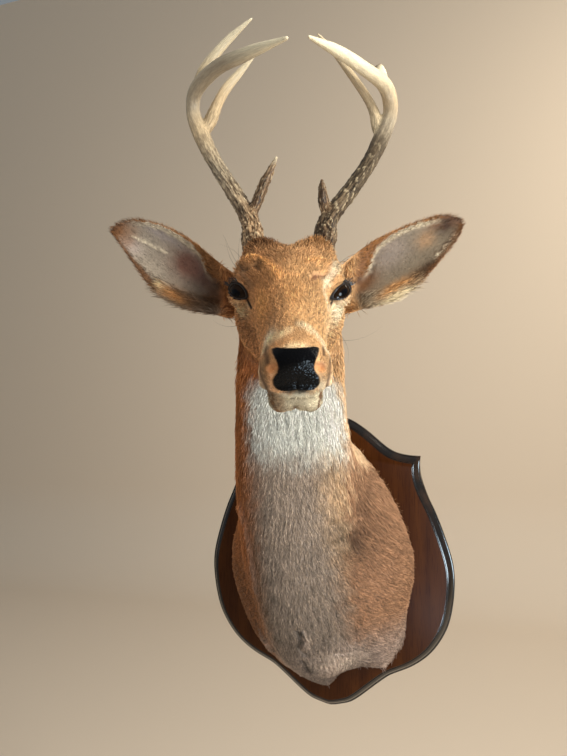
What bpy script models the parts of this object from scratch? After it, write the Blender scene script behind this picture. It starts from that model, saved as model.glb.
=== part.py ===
# Whitetail deer shoulder mount on a shield plaque, life size, in metres, +Z up.
# The origin is the centre of the plaque's back face. The wall is at +Y and the deer looks along -Y, its head
# turned a little to +X. Left and right are the deer's own: its left side is at +X.
# Every solid of the animal reaches to the tips of the coat.
from math import cos, pi, radians, sin, sqrt

import bmesh
import bpy
import numpy as np
from mathutils import Vector

GAP = 0.0003  # between any two touching pieces
CREASE = radians(40)  # edges sharper than this are shaded sharp

# Plaque: a shield with two ears at the top and a lobe at the bottom
PLAQUE_THICK = 0.020
PLAQUE_RIM_STEPS = 3
PLAQUE_CORNER = 0.4  # holds an inset corner back: at most 1 / this times the inset
PLAQUE_RIM = 0.011  # how far the rim runs in over the face
PLAQUE_RIM_DROP = 0.010  # how far the outer edge lies behind the face
PLAQUE_EAR = (0.159, 0.168)  # the sharp ear, right half, (x, z)
PLAQUE_DOME = [(0.0, 0.243), (0.046, 0.229), (0.080, 0.205), (0.110, 0.179), (0.136, 0.170)]
PLAQUE_SIDE = [(0.1565, 0.146), (0.162, 0.117), (0.180, 0.076), (0.201, 0.010), (0.2045, -0.038),
               (0.193, -0.098), (0.165, -0.143), (0.131, -0.169), (0.098, -0.185), (0.066, -0.210),
               (0.034, -0.234), (0.0, -0.243)]

# Head: its own frame starts midway between the eyes. In it, "along" runs to the nose, "up" to the brow.
EYES_AT = Vector((0.041, -0.353, 0.381))
HEAD_TURN = radians(16.5)  # towards +X
HEAD_PITCH = radians(28)  # nose down
EYE_RADIUS = 0.0165
BALL_RINGS = 10
EYE_PLACE = (-0.001, 0.0515, -0.001)  # along, out to the side, up

# Neck and shoulders, from the plaque up to the throat. Each row is a plane through the body:
# back (out, up), front (out, up), sideways shift, share of the head's turn, half widths from back to front.
BODY_ROWS = [
    ((PLAQUE_THICK + GAP, 0.212), (PLAQUE_THICK + GAP, -0.186), 0.000, 0.0, (0.118, 0.132, 0.142, 0.146, 0.195)),
    ((0.045, 0.222), (0.075, -0.174), 0.000, 0.0, (0.112, 0.130, 0.147, 0.149, 0.160)),
    ((0.070, 0.235), (0.138, -0.142), 0.000, 0.0, (0.098, 0.116, 0.131, 0.130, 0.118)),
    ((0.095, 0.254), (0.198, -0.096), -0.001, 0.0, (0.084, 0.099, 0.108, 0.103, 0.092)),
    ((0.118, 0.278), (0.245, -0.032), -0.002, 0.1, (0.076, 0.088, 0.092, 0.086, 0.078)),
    ((0.138, 0.306), (0.271, 0.046), -0.001, 0.2, (0.070, 0.079, 0.082, 0.078, 0.073)),
    ((0.157, 0.338), (0.284, 0.124), 0.001, 0.4, (0.066, 0.072, 0.076, 0.074, 0.069)),
    ((0.178, 0.370), (0.291, 0.200), 0.006, 0.6, (0.062, 0.068, 0.072, 0.071, 0.067)),
    ((0.205, 0.400), (0.288, 0.262), 0.011, 0.8, (0.060, 0.066, 0.069, 0.069, 0.064)),
]
# Head, from the throat to the nose: top (along, up), bottom (along, up), half widths from top to bottom.
HEAD_ROWS = [
    ((-0.124, -0.012), (-0.040, -0.113), (0.060, 0.065, 0.067, 0.067, 0.062)),
    ((-0.106, 0.014), (-0.024, -0.112), (0.064, 0.065, 0.067, 0.066, 0.060)),
    ((-0.085, 0.028), (-0.012, -0.108), (0.072, 0.067, 0.066, 0.064, 0.056)),
    ((-0.060, 0.031), (-0.002, -0.103), (0.082, 0.068, 0.065, 0.060, 0.051)),
    ((-0.030, 0.042), (0.009, -0.096), (0.088, 0.066, 0.061, 0.055, 0.046)),
    ((0.000, 0.042), (0.022, -0.089), (0.080, 0.056, 0.053, 0.048, 0.042)),
    ((0.030, 0.035), (0.042, -0.081), (0.057, 0.046, 0.044, 0.041, 0.039)),
    ((0.060, 0.028), (0.066, -0.073), (0.044, 0.040, 0.038, 0.036, 0.036)),
    ((0.100, 0.0215), (0.100, -0.066), (0.036, 0.035, 0.034, 0.033, 0.034)),
    ((0.140, 0.0185), (0.134, -0.062), (0.030, 0.031, 0.031, 0.031, 0.033)),
    ((0.165, 0.0170), (0.154, -0.061), (0.030, 0.031, 0.0315, 0.031, 0.033)),
    ((0.184, 0.0140), (0.169, -0.058), (0.029, 0.031, 0.031, 0.030, 0.031)),
    ((0.195, 0.0100), (0.180, -0.050), (0.027, 0.028, 0.028, 0.026, 0.025)),
    ((0.200, 0.0030), (0.188, -0.041), (0.020, 0.022, 0.021, 0.019, 0.017)),
]
WIDTH_AT = (0.1, 0.3, 0.5, 0.7, 0.9)  # where along a section the five half widths are
RING_POINTS = 32
NECK_FROM, HEAD_FROM = 4.6, 9.0  # the rows, counted from the plaque, where the neck and the head start
BODY_STEPS, NECK_STEPS, HEAD_STEPS = 10, 10, 38

# Swellings and hollows of the head, mirrored: along, out, up, radius, height
HEAD_FORMS = [
    (-0.056, 0.030, 0.038, 0.014, 0.031),  # antler stems
    (-0.016, 0.056, 0.022, 0.014, 0.004),  # brow
    (0.001, 0.060, 0.013, 0.006, 0.006),  # upper lid
    (0.005, 0.054, -0.014, 0.007, 0.005),  # lower lid
    (0.026, 0.044, 0.004, 0.012, -0.004),  # hollow before the eye
    (-0.020, 0.056, -0.052, 0.022, 0.003),  # cheek
    (0.050, 0.034, -0.048, 0.020, -0.002),  # behind the mouth
    (0.180, 0.024, -0.010, 0.010, 0.002),  # nostril
    (0.162, 0.012, -0.058, 0.012, 0.002),  # chin
]
# The same on the shoulders and neck, mirrored: out from the wall, x, z, radius, height
BODY_FORMS = [
    (0.165, 0.078, 0.075, 0.028, -0.009),  # groove between neck and shoulder
    (0.200, 0.070, -0.020, 0.030, -0.004),  # front of the shoulder
    (0.085, 0.120, 0.000, 0.045, 0.005),  # shoulder
    (0.020, 0.000, -0.190, 0.030, 0.007),  # tongue of the hem, the two sides together
]

# Ears: root and tip as (side, forward, up) from the eyes, level with the floor
EAR_ROOT, EAR_TIP = (0.062, -0.070, 0.003), (0.219, -0.076, 0.099)
EAR_WIDTHS = {  # (place from root to tip, width) above and below the line from root to tip
    "right": dict(
        upper=[(0.0, 0.026), (0.15, 0.028), (0.3, 0.032), (0.55, 0.0375), (0.75, 0.034), (0.9, 0.025),
               (0.97, 0.013), (1.0, 0.003)],
        lower=[(0.0, 0.024), (0.12, 0.029), (0.25, 0.039), (0.42, 0.043), (0.6, 0.036), (0.76, 0.023),
               (0.9, 0.011), (1.0, 0.003)]),
    "left": dict(
        upper=[(0.0, 0.028), (0.15, 0.035), (0.32, 0.0385), (0.55, 0.0355), (0.75, 0.0295), (0.9, 0.021),
               (0.97, 0.012), (1.0, 0.003)],
        lower=[(0.0, 0.021), (0.12, 0.026), (0.25, 0.035), (0.42, 0.038), (0.6, 0.033), (0.76, 0.024),
               (0.9, 0.016), (1.0, 0.004)]),
}
EAR_CUP = [(0.0, 0.036), (0.25, 0.026), (0.6, 0.014), (1.0, 0.002)]  # how deep the ear is hollowed
EAR_WALL = 0.004
EAR_RIM_STEP = (0.0006, 1.01)  # how far the inner face stands forward and the outer one is wider
EAR_THIN_BELOW = 0.03  # where the ear is narrower than this above its line, the wall thins
EAR_TIP_CROWDING = 1.3  # over 1 puts more of the sections near the tip
EAR_FACING = radians(6)  # how far the hollow looks outwards from the head's own direction
EAR_STEPS, EAR_RIM_POINTS = 13, 9

# Antlers: (side, forward, up) from the eyes, as the ears; the two sides differ a little
ANTLER_SIDES, BEAM_STEPS = 8, 40
ANTLERS = {
    "right": dict(
        beam=[(-0.039, -0.036, 0.050), (-0.042, -0.042, 0.072), (-0.045, -0.052, 0.098), (-0.067, -0.074, 0.144),
              (-0.092, -0.092, 0.191), (-0.109, -0.100, 0.230), (-0.119, -0.101, 0.260), (-0.112, -0.083, 0.279),
              (-0.082, -0.042, 0.282), (-0.044, 0.002, 0.271), (0.003, 0.051, 0.257)],
        thick=[0.0120, 0.0140, 0.0112, 0.0102, 0.0098, 0.0110, 0.0092, 0.0094, 0.0088, 0.0076, 0.0022],
        fork=5.15,
        brow=[(-0.045, -0.052, 0.098), (-0.037, -0.055, 0.121), (-0.024, -0.044, 0.146), (-0.011, -0.032, 0.168)],
        brow_thick=[0.0050, 0.0066, 0.0056, 0.0015],
        second=[(-0.109, -0.100, 0.226), (-0.0975, -0.103, 0.247), (-0.087, -0.104, 0.272),
                (-0.075, -0.103, 0.292), (-0.056, -0.097, 0.310), (-0.034, -0.084, 0.327)],
        second_thick=[0.0050, 0.0086, 0.0070, 0.0064, 0.0048, 0.0015],
        third=[(-0.112, -0.083, 0.279), (-0.104, -0.078, 0.297), (-0.087, -0.070, 0.315), (-0.066, -0.060, 0.331),
               (-0.037, -0.044, 0.345)],
        third_thick=[0.0050, 0.0068, 0.0060, 0.0048, 0.0015],
    ),
    "left": dict(
        beam=[(0.040, -0.036, 0.050), (0.044, -0.042, 0.072), (0.050, -0.052, 0.098), (0.079, -0.074, 0.140),
              (0.108, -0.091, 0.184), (0.127, -0.099, 0.222), (0.139, -0.100, 0.254), (0.130, -0.082, 0.278),
              (0.098, -0.042, 0.277), (0.061, 0.003, 0.271), (0.024, 0.052, 0.257)],
        thick=[0.0120, 0.0140, 0.0112, 0.0102, 0.0100, 0.0112, 0.0098, 0.0098, 0.0080, 0.0067, 0.0018],
        fork=5.0,
        brow=[(0.050, -0.052, 0.098), (0.045, -0.054, 0.116), (0.043, -0.048, 0.130), (0.042, -0.043, 0.144)],
        brow_thick=[0.0050, 0.0068, 0.0052, 0.0014],
        second=[(0.125, -0.099, 0.216), (0.122, -0.103, 0.236), (0.118, -0.104, 0.258), (0.108, -0.103, 0.278),
                (0.090, -0.098, 0.302), (0.067, -0.090, 0.329), (0.044, -0.079, 0.348)],
        second_thick=[0.0050, 0.0080, 0.0064, 0.0058, 0.0052, 0.0040, 0.0014],
        third=[(0.130, -0.082, 0.278), (0.123, -0.076, 0.291), (0.118, -0.072, 0.300)],  # broken off short
        third_thick=[0.0050, 0.0080, 0.0056],
    ),
}

# Colour, roughness
COATS = {"tan": ((0.42, 0.25, 0.13), 0.8), "face": ((0.45, 0.22, 0.09), 0.75), "ear": ((0.36, 0.25, 0.18), 0.8)}
WOOD = ((0.16, 0.055, 0.02), 0.35)
GLASS = ((0.012, 0.009, 0.008), 0.05)
ANTLER_BONE = ((0.42, 0.31, 0.19), 0.55)


def clear():
    for ob in list(bpy.data.objects):
        bpy.data.objects.remove(ob)


def finish(name, bm, look):
    """Make the bmesh one named object with its own material."""
    mesh = bpy.data.meshes.new(name)
    bm.to_mesh(mesh)
    bm.free()
    mesh.shade_smooth()
    mesh.set_sharp_from_angle(angle=CREASE)
    ob = bpy.data.objects.new(name, mesh)
    bpy.context.collection.objects.link(ob)
    mat = bpy.data.materials.new(name)
    mat.use_nodes = True
    shader = mat.node_tree.nodes["Principled BSDF"]
    shader.inputs["Base Color"].default_value = (*look[0], 1)
    shader.inputs["Roughness"].default_value = look[1]
    mesh.materials.append(mat)
    return ob


def through(values, at):
    """A smooth curve through equally spaced values, read at any place from 0 to their count less 1."""
    values = np.asarray(values, float)
    last = len(values) - 1
    i = min(int(at), last - 1)
    u = at - i
    a, b = values[i], values[i + 1]
    before = values[i - 1] if i > 0 else 2 * a - b
    after = values[i + 2] if i + 2 <= last else 2 * b - a
    return (a + 0.5 * u * (b - before + u * (2 * before - 5 * a + 4 * b - after
                                             + u * (3 * (a - b) + after - before))))


def between(pairs, at):
    """A smooth curve through (place, value) pairs."""
    places = [p for p, _ in pairs]
    at = min(max(at, places[0]), places[-1])
    i = max(k for k in range(len(pairs) - 1) if places[k] <= at)
    return float(through([v for _, v in pairs], i + (at - places[i]) / (places[i + 1] - places[i])))


def skin_rings(bm, rings):
    """Join rings of points, all with the same count, and close both ends with a flat face."""
    made = [[bm.verts.new(p) for p in ring] for ring in rings]
    for one, two in zip(made, made[1:]):
        for k in range(len(one)):
            n = (k + 1) % len(one)
            bm.faces.new((one[k], one[n], two[n], two[k]))
    bm.faces.new(made[0])
    bm.faces.new(made[-1])
    bmesh.ops.triangulate(bm, faces=bm.faces)
    bmesh.ops.recalc_face_normals(bm, faces=bm.faces)


def turned(share):
    """Sideways and forward directions, level, for a share of the head's turn."""
    angle = HEAD_TURN * share
    return Vector((cos(angle), sin(angle), 0)), Vector((sin(angle), -cos(angle), 0))


SIDE, LEVEL = turned(1)
ALONG = LEVEL * cos(HEAD_PITCH) - Vector((0, 0, 1)) * sin(HEAD_PITCH)
BROW = ALONG.cross(SIDE)


def head_point(along, out, up):
    return EYES_AT + ALONG * along + SIDE * out + BROW * up


def level_point(out, forward, up):
    return EYES_AT + SIDE * out + LEVEL * forward + Vector((0, 0, up))


def body_point(from_wall, x, z):
    return Vector((x, -from_wall, z))


def section_rows():
    """Every row as back point, front point, sideways direction and half widths, in the object's frame."""
    rows = []
    for (out_b, up_b), (out_f, up_f), shift, share, widths in BODY_ROWS:
        side, _ = turned(share)
        rows.append((Vector((shift, -out_b, up_b)), Vector((shift, -out_f, up_f)), side, widths))
    for top, bottom, widths in HEAD_ROWS:
        rows.append((head_point(top[0], 0, top[1]), head_point(bottom[0], 0, bottom[1]), SIDE, widths))
    return [np.concatenate([np.array(back), np.array(front), np.array(side), widths])
            for back, front, side, widths in rows]


ROWS = section_rows()


def swell(point, middle, forms, to_point):
    """Push a surface point away from its section's middle by every form that is near it."""
    moved = 0.0
    for first, out, up, radius, height in forms:
        for side in (-1, 1):
            gap = (point - to_point(first, side * out, up)).length
            moved += height * np.exp(-(gap / radius) ** 2 / 2)
    return point + (point - middle).normalized() * moved


def section(at):
    """The closed ring of the body's surface at one place along the rows, and its plane's normal."""
    row = through(ROWS, at)
    back, front = Vector(row[0:3]), Vector(row[3:6])
    side = Vector(row[6:9]).normalized()
    widths = list(zip(WIDTH_AT, row[9:14]))
    middle = (back + front) / 2
    ring = []
    for k in range(RING_POINTS):
        turn = 2 * pi * k / RING_POINTS
        share = (1 - cos(turn)) / 2
        half = between(widths, share) * sin(turn)
        point = back.lerp(front, share) + side * half
        point = swell(point, middle, HEAD_FORMS, head_point)
        ring.append(swell(point, middle, BODY_FORMS, body_point))
    # keep the ring in its own plane
    normal = (front - back).cross(side).normalized()
    return [p - normal * (p - middle).dot(normal) for p in ring], normal


def body_piece(name, start, end, steps, look):
    """One length of the body. It starts a gap past the flat end of the length before it."""
    rings = []
    for k in range(steps + 1):
        ring, normal = section(start + (end - start) * k / steps)
        rings.append([p + normal * GAP for p in ring] if start and not k else ring)
    bm = bmesh.new()
    skin_rings(bm, rings)
    return finish(name, bm, look)


def cutter(name, bm, grow=GAP):
    """A hidden object, grown by the gap, that cuts a neighbour."""
    bm.normal_update()
    for vert in bm.verts:
        vert.co += vert.normal * grow
    mesh = bpy.data.meshes.new(name)
    bm.to_mesh(mesh)
    bm.free()
    ob = bpy.data.objects.new(name, mesh)
    bpy.context.collection.objects.link(ob)
    ob.hide_render = True
    ob.display_type = "WIRE"
    return ob


def copied(ob):
    bm = bmesh.new()
    bm.from_mesh(ob.data)
    return bm


def cut(ob, by):
    mod = ob.modifiers.new("cut", "BOOLEAN")
    mod.operation = "DIFFERENCE"
    mod.object = by
    mod.solver = "EXACT"


def ball(name, radius, centre, look):
    bm = bmesh.new()
    bmesh.ops.create_uvsphere(bm, u_segments=2 * BALL_RINGS, v_segments=BALL_RINGS, radius=radius)
    bmesh.ops.translate(bm, verts=bm.verts, vec=centre)
    return finish(name, bm, look)


def ear_piece(side, name):
    """A hollow leaf: each section is a thin crescent that opens to the front."""
    root, tip = (level_point(side * p[0], p[1], p[2]) for p in (EAR_ROOT, EAR_TIP))
    axis = (tip - root).normalized()
    facing = LEVEL * cos(EAR_FACING) + SIDE * side * sin(EAR_FACING)
    facing = (facing - axis * facing.dot(axis)).normalized()
    across = facing.cross(axis)
    rings = []
    for k in range(EAR_STEPS + 1):
        t = 1 - (1 - k / EAR_STEPS) ** EAR_TIP_CROWDING
        upper, lower = (between(EAR_WIDTHS[name][part], t) for part in ("upper", "lower"))
        cup = between(EAR_CUP, t)
        wall = EAR_WALL * min(1, (0.3 + 0.7 * upper / EAR_THIN_BELOW))
        middle = root.lerp(tip, t)
        inner, outer = [], []
        for j in range(EAR_RIM_POINTS):
            w = -cos(pi * j / (EAR_RIM_POINTS - 1))
            hollow = -cup * (1 - w * w)
            rim = sqrt(max(0, 1 - w * w))
            half = w * (upper if w * side > 0 else lower)
            inner.append(middle + across * half + facing * (hollow + EAR_RIM_STEP[0]))
            outer.append(middle + across * half * EAR_RIM_STEP[1] + facing * (hollow - wall * (0.25 + rim)))
        rings.append(inner + outer[::-1])
    bm = bmesh.new()
    skin_rings(bm, rings)
    return finish(f"ear_{name}", bm, COATS["ear"])


def round_rings(points, radii, steps):
    """Rings along a smooth curve through the points, and the direction that the curve runs at each."""
    centres = [Vector(through(points, (len(points) - 1) * k / steps)) for k in range(steps + 1)]
    rings, runs, normal = [], [], Vector((0, 1, 0))
    for k, centre in enumerate(centres):
        run = (centres[min(k + 1, steps)] - centres[max(k - 1, 0)]).normalized()
        normal = (normal - run * normal.dot(run)).normalized()
        other = run.cross(normal)
        radius = float(through(radii, (len(points) - 1) * k / steps))
        rings.append([centre + (normal * cos(turn) + other * sin(turn)) * radius
                      for turn in (2 * pi * j / ANTLER_SIDES for j in range(ANTLER_SIDES))])
        runs.append(run)
    return rings, runs


def solid(rings):
    bm = bmesh.new()
    skin_rings(bm, rings)
    return bm


def antler(side, head_cut):
    made = ANTLERS[side]
    route = {key: [level_point(*p) for p in made[key]] for key in ("beam", "brow", "second", "third")}
    rings, runs = round_rings(route["beam"], made["thick"], BEAM_STEPS)
    fork = round(BEAM_STEPS * made["fork"] / (len(made["beam"]) - 1))
    lower = finish(f"antler_{side}_beam_lower", solid(rings[:fork + 1]), ANTLER_BONE)
    cut(lower, head_cut)
    parted = [point + runs[fork] * GAP for point in rings[fork]]
    finish(f"antler_{side}_beam_upper", solid([parted] + rings[fork + 1:]), ANTLER_BONE)
    beam_cut = cutter(f"cut_antler_{side}", solid(rings))
    for tine, steps in (("brow", 9), ("second", 14), ("third", 4 * len(made["third"]) - 8)):
        form = solid(round_rings(route[tine], made[tine + "_thick"], steps)[0])
        cut(finish(f"antler_{side}_{tine}_tine", form, ANTLER_BONE), beam_cut)


def plaque_outline():
    """The right half as points from the top to the bottom, and the left half back up."""
    dome = [through(PLAQUE_DOME + [PLAQUE_EAR], k / 2) for k in range(2 * len(PLAQUE_DOME))]
    side = [through([PLAQUE_EAR] + PLAQUE_SIDE, k / 2) for k in range(2 * len(PLAQUE_SIDE) + 1)]
    half = [Vector((p[0], p[1])) for p in dome + side]
    return half + [Vector((-p[0], p[1])) for p in half[-2:0:-1]]


def inset(outline, by):
    """Move a clockwise outline inwards by the same distance everywhere."""
    moved = []
    count = len(outline)
    for k, p in enumerate(outline):
        one, two = (p - outline[k - 1]).normalized(), (outline[(k + 1) % count] - p).normalized()
        left, right = Vector((one.y, -one.x)), Vector((two.y, -two.x))
        middle = (left + right).normalized()
        moved.append(p + middle * by / max(PLAQUE_CORNER, middle.dot(left)))
    return moved


def plaque():
    outline = plaque_outline()
    rings = [[Vector((p.x, 0, p.y)) for p in outline]]
    for k in range(PLAQUE_RIM_STEPS + 1):
        turn = k / PLAQUE_RIM_STEPS
        deep = PLAQUE_THICK - PLAQUE_RIM_DROP + PLAQUE_RIM_DROP * sin(turn * pi / 2)
        over = PLAQUE_RIM * (1 - cos(turn * pi / 2))
        rings.append([Vector((p.x, -deep, p.y)) for p in inset(outline, over)])
    bm = bmesh.new()
    skin_rings(bm, rings)
    return finish("plaque", bm, WOOD)


def build():
    clear()
    plaque()
    body_piece("shoulders", 0, NECK_FROM, BODY_STEPS, COATS["tan"])
    neck = body_piece("neck", NECK_FROM, HEAD_FROM, NECK_STEPS, COATS["tan"])
    neck_cut = cutter("cut_neck", copied(neck))
    head = body_piece("head", HEAD_FROM, len(ROWS) - 1, HEAD_STEPS, COATS["face"])
    head_cut = cutter("cut_head", copied(head))
    for side, name in ((1, "left"), (-1, "right")):
        centre = head_point(EYE_PLACE[0], side * EYE_PLACE[1], EYE_PLACE[2])
        eye = ball(f"eye_{name}", EYE_RADIUS, centre, GLASS)
        cut(head, cutter(f"cut_{eye.name}", copied(eye)))
        ear = ear_piece(side, name)
        cut(ear, head_cut)
        cut(ear, neck_cut)
        antler(name, head_cut)


build()
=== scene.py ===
from math import cos, pi, radians, sin

import bmesh
import bpy
import numpy as np
from mathutils import Matrix, Vector
from mathutils.bvhtree import BVHTree


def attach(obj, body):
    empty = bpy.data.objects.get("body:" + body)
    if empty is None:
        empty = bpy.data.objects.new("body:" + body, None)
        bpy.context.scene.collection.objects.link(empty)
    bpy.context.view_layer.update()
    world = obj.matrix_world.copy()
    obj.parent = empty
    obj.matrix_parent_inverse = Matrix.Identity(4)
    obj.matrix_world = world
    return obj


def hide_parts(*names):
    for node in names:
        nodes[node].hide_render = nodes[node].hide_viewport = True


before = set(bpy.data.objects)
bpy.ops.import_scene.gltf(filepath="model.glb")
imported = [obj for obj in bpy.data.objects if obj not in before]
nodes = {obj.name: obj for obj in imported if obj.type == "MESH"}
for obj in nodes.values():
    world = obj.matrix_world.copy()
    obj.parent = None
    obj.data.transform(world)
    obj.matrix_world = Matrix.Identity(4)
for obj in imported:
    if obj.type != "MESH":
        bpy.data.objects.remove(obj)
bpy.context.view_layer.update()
print("frame loaded:", len(nodes), "nodes")


# the middle of the eyes, and how far the head is turned to its left and tipped down, in degrees
headPlace = {"eyes": (0.041, -0.353, 0.381), "turn": 16.5, "pitch": 28.0}
turn = radians(headPlace["turn"])
pitch = radians(headPlace["pitch"])
eyesMiddle = np.array(headPlace["eyes"])
upAxis = np.array([0.0, 0.0, 1.0])
sideAxis = np.array([cos(turn), sin(turn), 0.0])
levelAxis = np.array([sin(turn), -cos(turn), 0.0])
alongAxis = levelAxis * cos(pitch) - upAxis * sin(pitch)
browAxis = np.cross(alongAxis, sideAxis)
headAxes = np.stack([alongAxis, sideAxis, browAxis])


def toHead(points):
    return (points - eyesMiddle) @ headAxes.T  # along the nose, out to the deer's left, up through the brow


def fromHead(points):
    return eyesMiddle + np.asarray(points, float) @ headAxes


def fade(low, high, x):
    # 0 at low, 1 at high, with soft ends
    t = np.clip((x - low) / (high - low), 0, 1)
    return t * t * (3 - 2 * t)


def bell(x, width, power=2):
    return np.exp(-(x / width) ** power)


def unit(v):
    return v / np.maximum(np.linalg.norm(v, axis=-1, keepdims=True), 1e-12)


def blob(h, centre, radii):
    # 1 at the centre, falling softly to 0; the same on both sides of the head
    q = np.stack([h[:, 0] - centre[0], np.abs(h[:, 1]) - abs(centre[1]), h[:, 2] - centre[2]], 1)
    return np.exp(-((q / np.asarray(radii, float)) ** 2).sum(1))


def pathDistance(points, path):
    # distance from each point to a line through the path, and how far along it is, 0 to 1
    best = np.full(len(points), 1e9)
    place = np.zeros(len(points))
    path = np.asarray(path, float)
    for k in range(len(path) - 1):
        a, b = path[k], path[k + 1]
        t = np.clip(((points - a) @ (b - a)) / ((b - a) @ (b - a)), 0, 1)
        d = np.linalg.norm(points - (a + t[:, None] * (b - a)), axis=1)
        near = d < best
        best[near] = d[near]
        place[near] = (k + t[near]) / (len(path) - 1)
    return best, place


def mirrored(h):
    return h * (1, 0, 1) + np.abs(h) * (0, 1, 0)


def lookUp(x, table):
    # the value at x in rows of (x, value)
    return np.interp(x, *zip(*table))


def waves(points, size, seed, layers=5, count=4):
    # soft noise from -1 to 1, made of crossing waves, the same every run
    rng = np.random.default_rng(seed)
    total = np.zeros(len(points))
    weight = 0.0
    for k in range(layers):
        for _ in range(count):
            direction = rng.normal(size=3)
            direction *= (1.9 ** k) * 2 * pi / (size * np.linalg.norm(direction))
            total += np.sin(points @ direction + rng.uniform(0, 2 * pi)) / 1.6 ** k
        weight += 1.1 * count ** 0.5 / 1.6 ** k
    return np.clip(total / weight, -1, 1)


def waves3(points, size, seed):
    return np.stack([waves(points, size, seed + k) for k in range(3)], 1)


# Ears: each has its own axes, from root to tip, across and towards the open side
earPlace = {"root": (0.062, -0.070, 0.003), "tip": (0.219, -0.076, 0.099), "facing": 6.0}


def levelPoint(out, forward, up):
    return eyesMiddle + sideAxis * out + levelAxis * forward + upAxis * up


def earFrame(s):
    root = levelPoint(s * earPlace["root"][0], *earPlace["root"][1:])
    tip = levelPoint(s * earPlace["tip"][0], *earPlace["tip"][1:])
    axis = unit(tip - root)
    facing = levelAxis * cos(radians(earPlace["facing"])) + sideAxis * s * sin(radians(earPlace["facing"]))
    facing = unit(facing - axis * (facing @ axis))
    upward = np.cross(facing, axis) * s
    return root, np.stack([axis / np.linalg.norm(tip - root), upward, facing])


earFrames = {1: earFrame(1), -1: earFrame(-1)}


def toEar(points, s):
    # share of the length from root to tip, metres upwards across, metres towards the open side
    root, axes = earFrames[s]
    return (points - root) @ axes.T


def earShare(h, s, low=0.080, high=0.092):
    # 1 on the ear of this side, 0 on the head, from where they join
    return fade(low, high, s * h[:, 1]) * (h[:, 2] > -0.085) * (h[:, 0] < -0.04)


def onEars(h):
    return (np.abs(h[:, 1]) > 0.084) & (h[:, 2] > -0.085) & (h[:, 0] < -0.04)


def jawLine(h):
    # grows from the neck towards the nose, square to the line of the jaw
    return h[:, 0] + 0.62 * (h[:, 2] + 0.045)


def headFold(h, path, width, s):
    # 1 along one of the folds over the eyes, on one side of the head
    d, _ = pathDistance(mirrored(h)[:, :2], np.array(path)[:, :2])
    return bell(d, width) * (h[:, 1] * s > 0) * (h[:, 2] > 0.005)


def readMesh(mesh):
    co = np.empty(len(mesh.vertices) * 3)
    mesh.vertices.foreach_get("co", co)
    mesh.calc_loop_triangles()
    tri = np.empty(len(mesh.loop_triangles) * 3, np.int32)
    mesh.loop_triangles.foreach_get("vertices", tri)
    return co.reshape(-1, 3), tri.reshape(-1, 3)


def placed(name, data):
    ob = bpy.data.objects.new(name, data)
    bpy.context.scene.collection.objects.link(ob)
    return ob


def writeMesh(name, co, faces):
    # faces is an array of rows that all have the same number of corners
    mesh = bpy.data.meshes.new(name)
    mesh.vertices.add(len(co))
    mesh.vertices.foreach_set("co", np.asarray(co, np.float32).ravel())
    count, corners = faces.shape
    mesh.loops.add(count * corners)
    mesh.loops.foreach_set("vertex_index", faces.astype(np.int32).ravel())
    mesh.polygons.add(count)
    mesh.polygons.foreach_set("loop_start", np.arange(0, count * corners, corners, dtype=np.int32))
    mesh.update(calc_edges=True)
    mesh.shade_smooth()
    return placed(name, mesh)


def edgesOf(tri):
    pairs = np.sort(np.concatenate([tri[:, [0, 1]], tri[:, [1, 2]], tri[:, [2, 0]]]), axis=1)
    return np.unique(pairs, axis=0)


def neighbourMean(values, edges, degree):
    total = np.zeros_like(values)
    for k in range(values.shape[1]):
        total[:, k] = (np.bincount(edges[:, 0], values[edges[:, 1], k], len(values))
                       + np.bincount(edges[:, 1], values[edges[:, 0], k], len(values)))
    return total / degree[:, None]


def relaxed(co, tri, weight, times):
    edges = edgesOf(tri)
    degree = np.maximum(np.bincount(edges.ravel(), minlength=len(co)), 1).astype(float)
    for _ in range(times):
        co = co + (neighbourMean(co, edges, degree) - co) * weight[:, None]
    return co


def vertexNormals(co, tri, blur=0):
    n = np.cross(co[tri[:, 1]] - co[tri[:, 0]], co[tri[:, 2]] - co[tri[:, 0]])
    out = np.zeros_like(co)
    for k in range(3):
        for c in range(3):
            out[:, c] += np.bincount(tri[:, k], n[:, c], len(co))
    out = unit(out)
    if blur:
        edges = edgesOf(tri)
        degree = np.maximum(np.bincount(edges.ravel(), minlength=len(co)), 1).astype(float)
        for _ in range(blur):
            out = unit(out + neighbourMean(out, edges, degree))
    return out


def floatAttribute(ob, name, values):
    layer = ob.data.attributes.new(name, "FLOAT", "POINT")
    layer.data.foreach_set("value", np.asarray(values, np.float32))


def colourAttribute(ob, name, rgb):
    layer = ob.data.attributes.new(name, "FLOAT_COLOR", "POINT")
    rgba = np.ones((len(rgb), 4), np.float32)
    rgba[:, :3] = np.clip(rgb, 0, 1)
    layer.data.foreach_set("color", rgba.ravel())


def mergedCopy(bm, name, grow):
    # add a CAD node to bm, with its doubles merged and its surface moved out a little
    part = bmesh.new()
    part.from_mesh(nodes[name].data)
    bmesh.ops.remove_doubles(part, verts=part.verts, dist=0.00002)
    part.normal_update()
    for vert in part.verts:
        vert.co += vert.normal * grow
    mesh = bpy.data.meshes.new(name + "Copy")
    part.to_mesh(mesh)
    part.free()
    bm.from_mesh(mesh)
    bpy.data.meshes.remove(mesh)


def scratchObject(name, bm):
    mesh = bpy.data.meshes.new(name)
    bm.to_mesh(mesh)
    bm.free()
    return placed(name, mesh)


def addModifier(ob, kind, **settings):
    mod = ob.modifiers.new(kind.lower(), kind)
    for key, value in settings.items():
        setattr(mod, key, value)


def bakedMesh(ob):
    # the object's mesh with its modifiers applied; the object itself is removed
    depsgraph = bpy.context.evaluated_depsgraph_get()
    mesh = bpy.data.meshes.new_from_object(ob.evaluated_get(depsgraph))
    bpy.data.objects.remove(ob)
    return mesh


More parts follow.
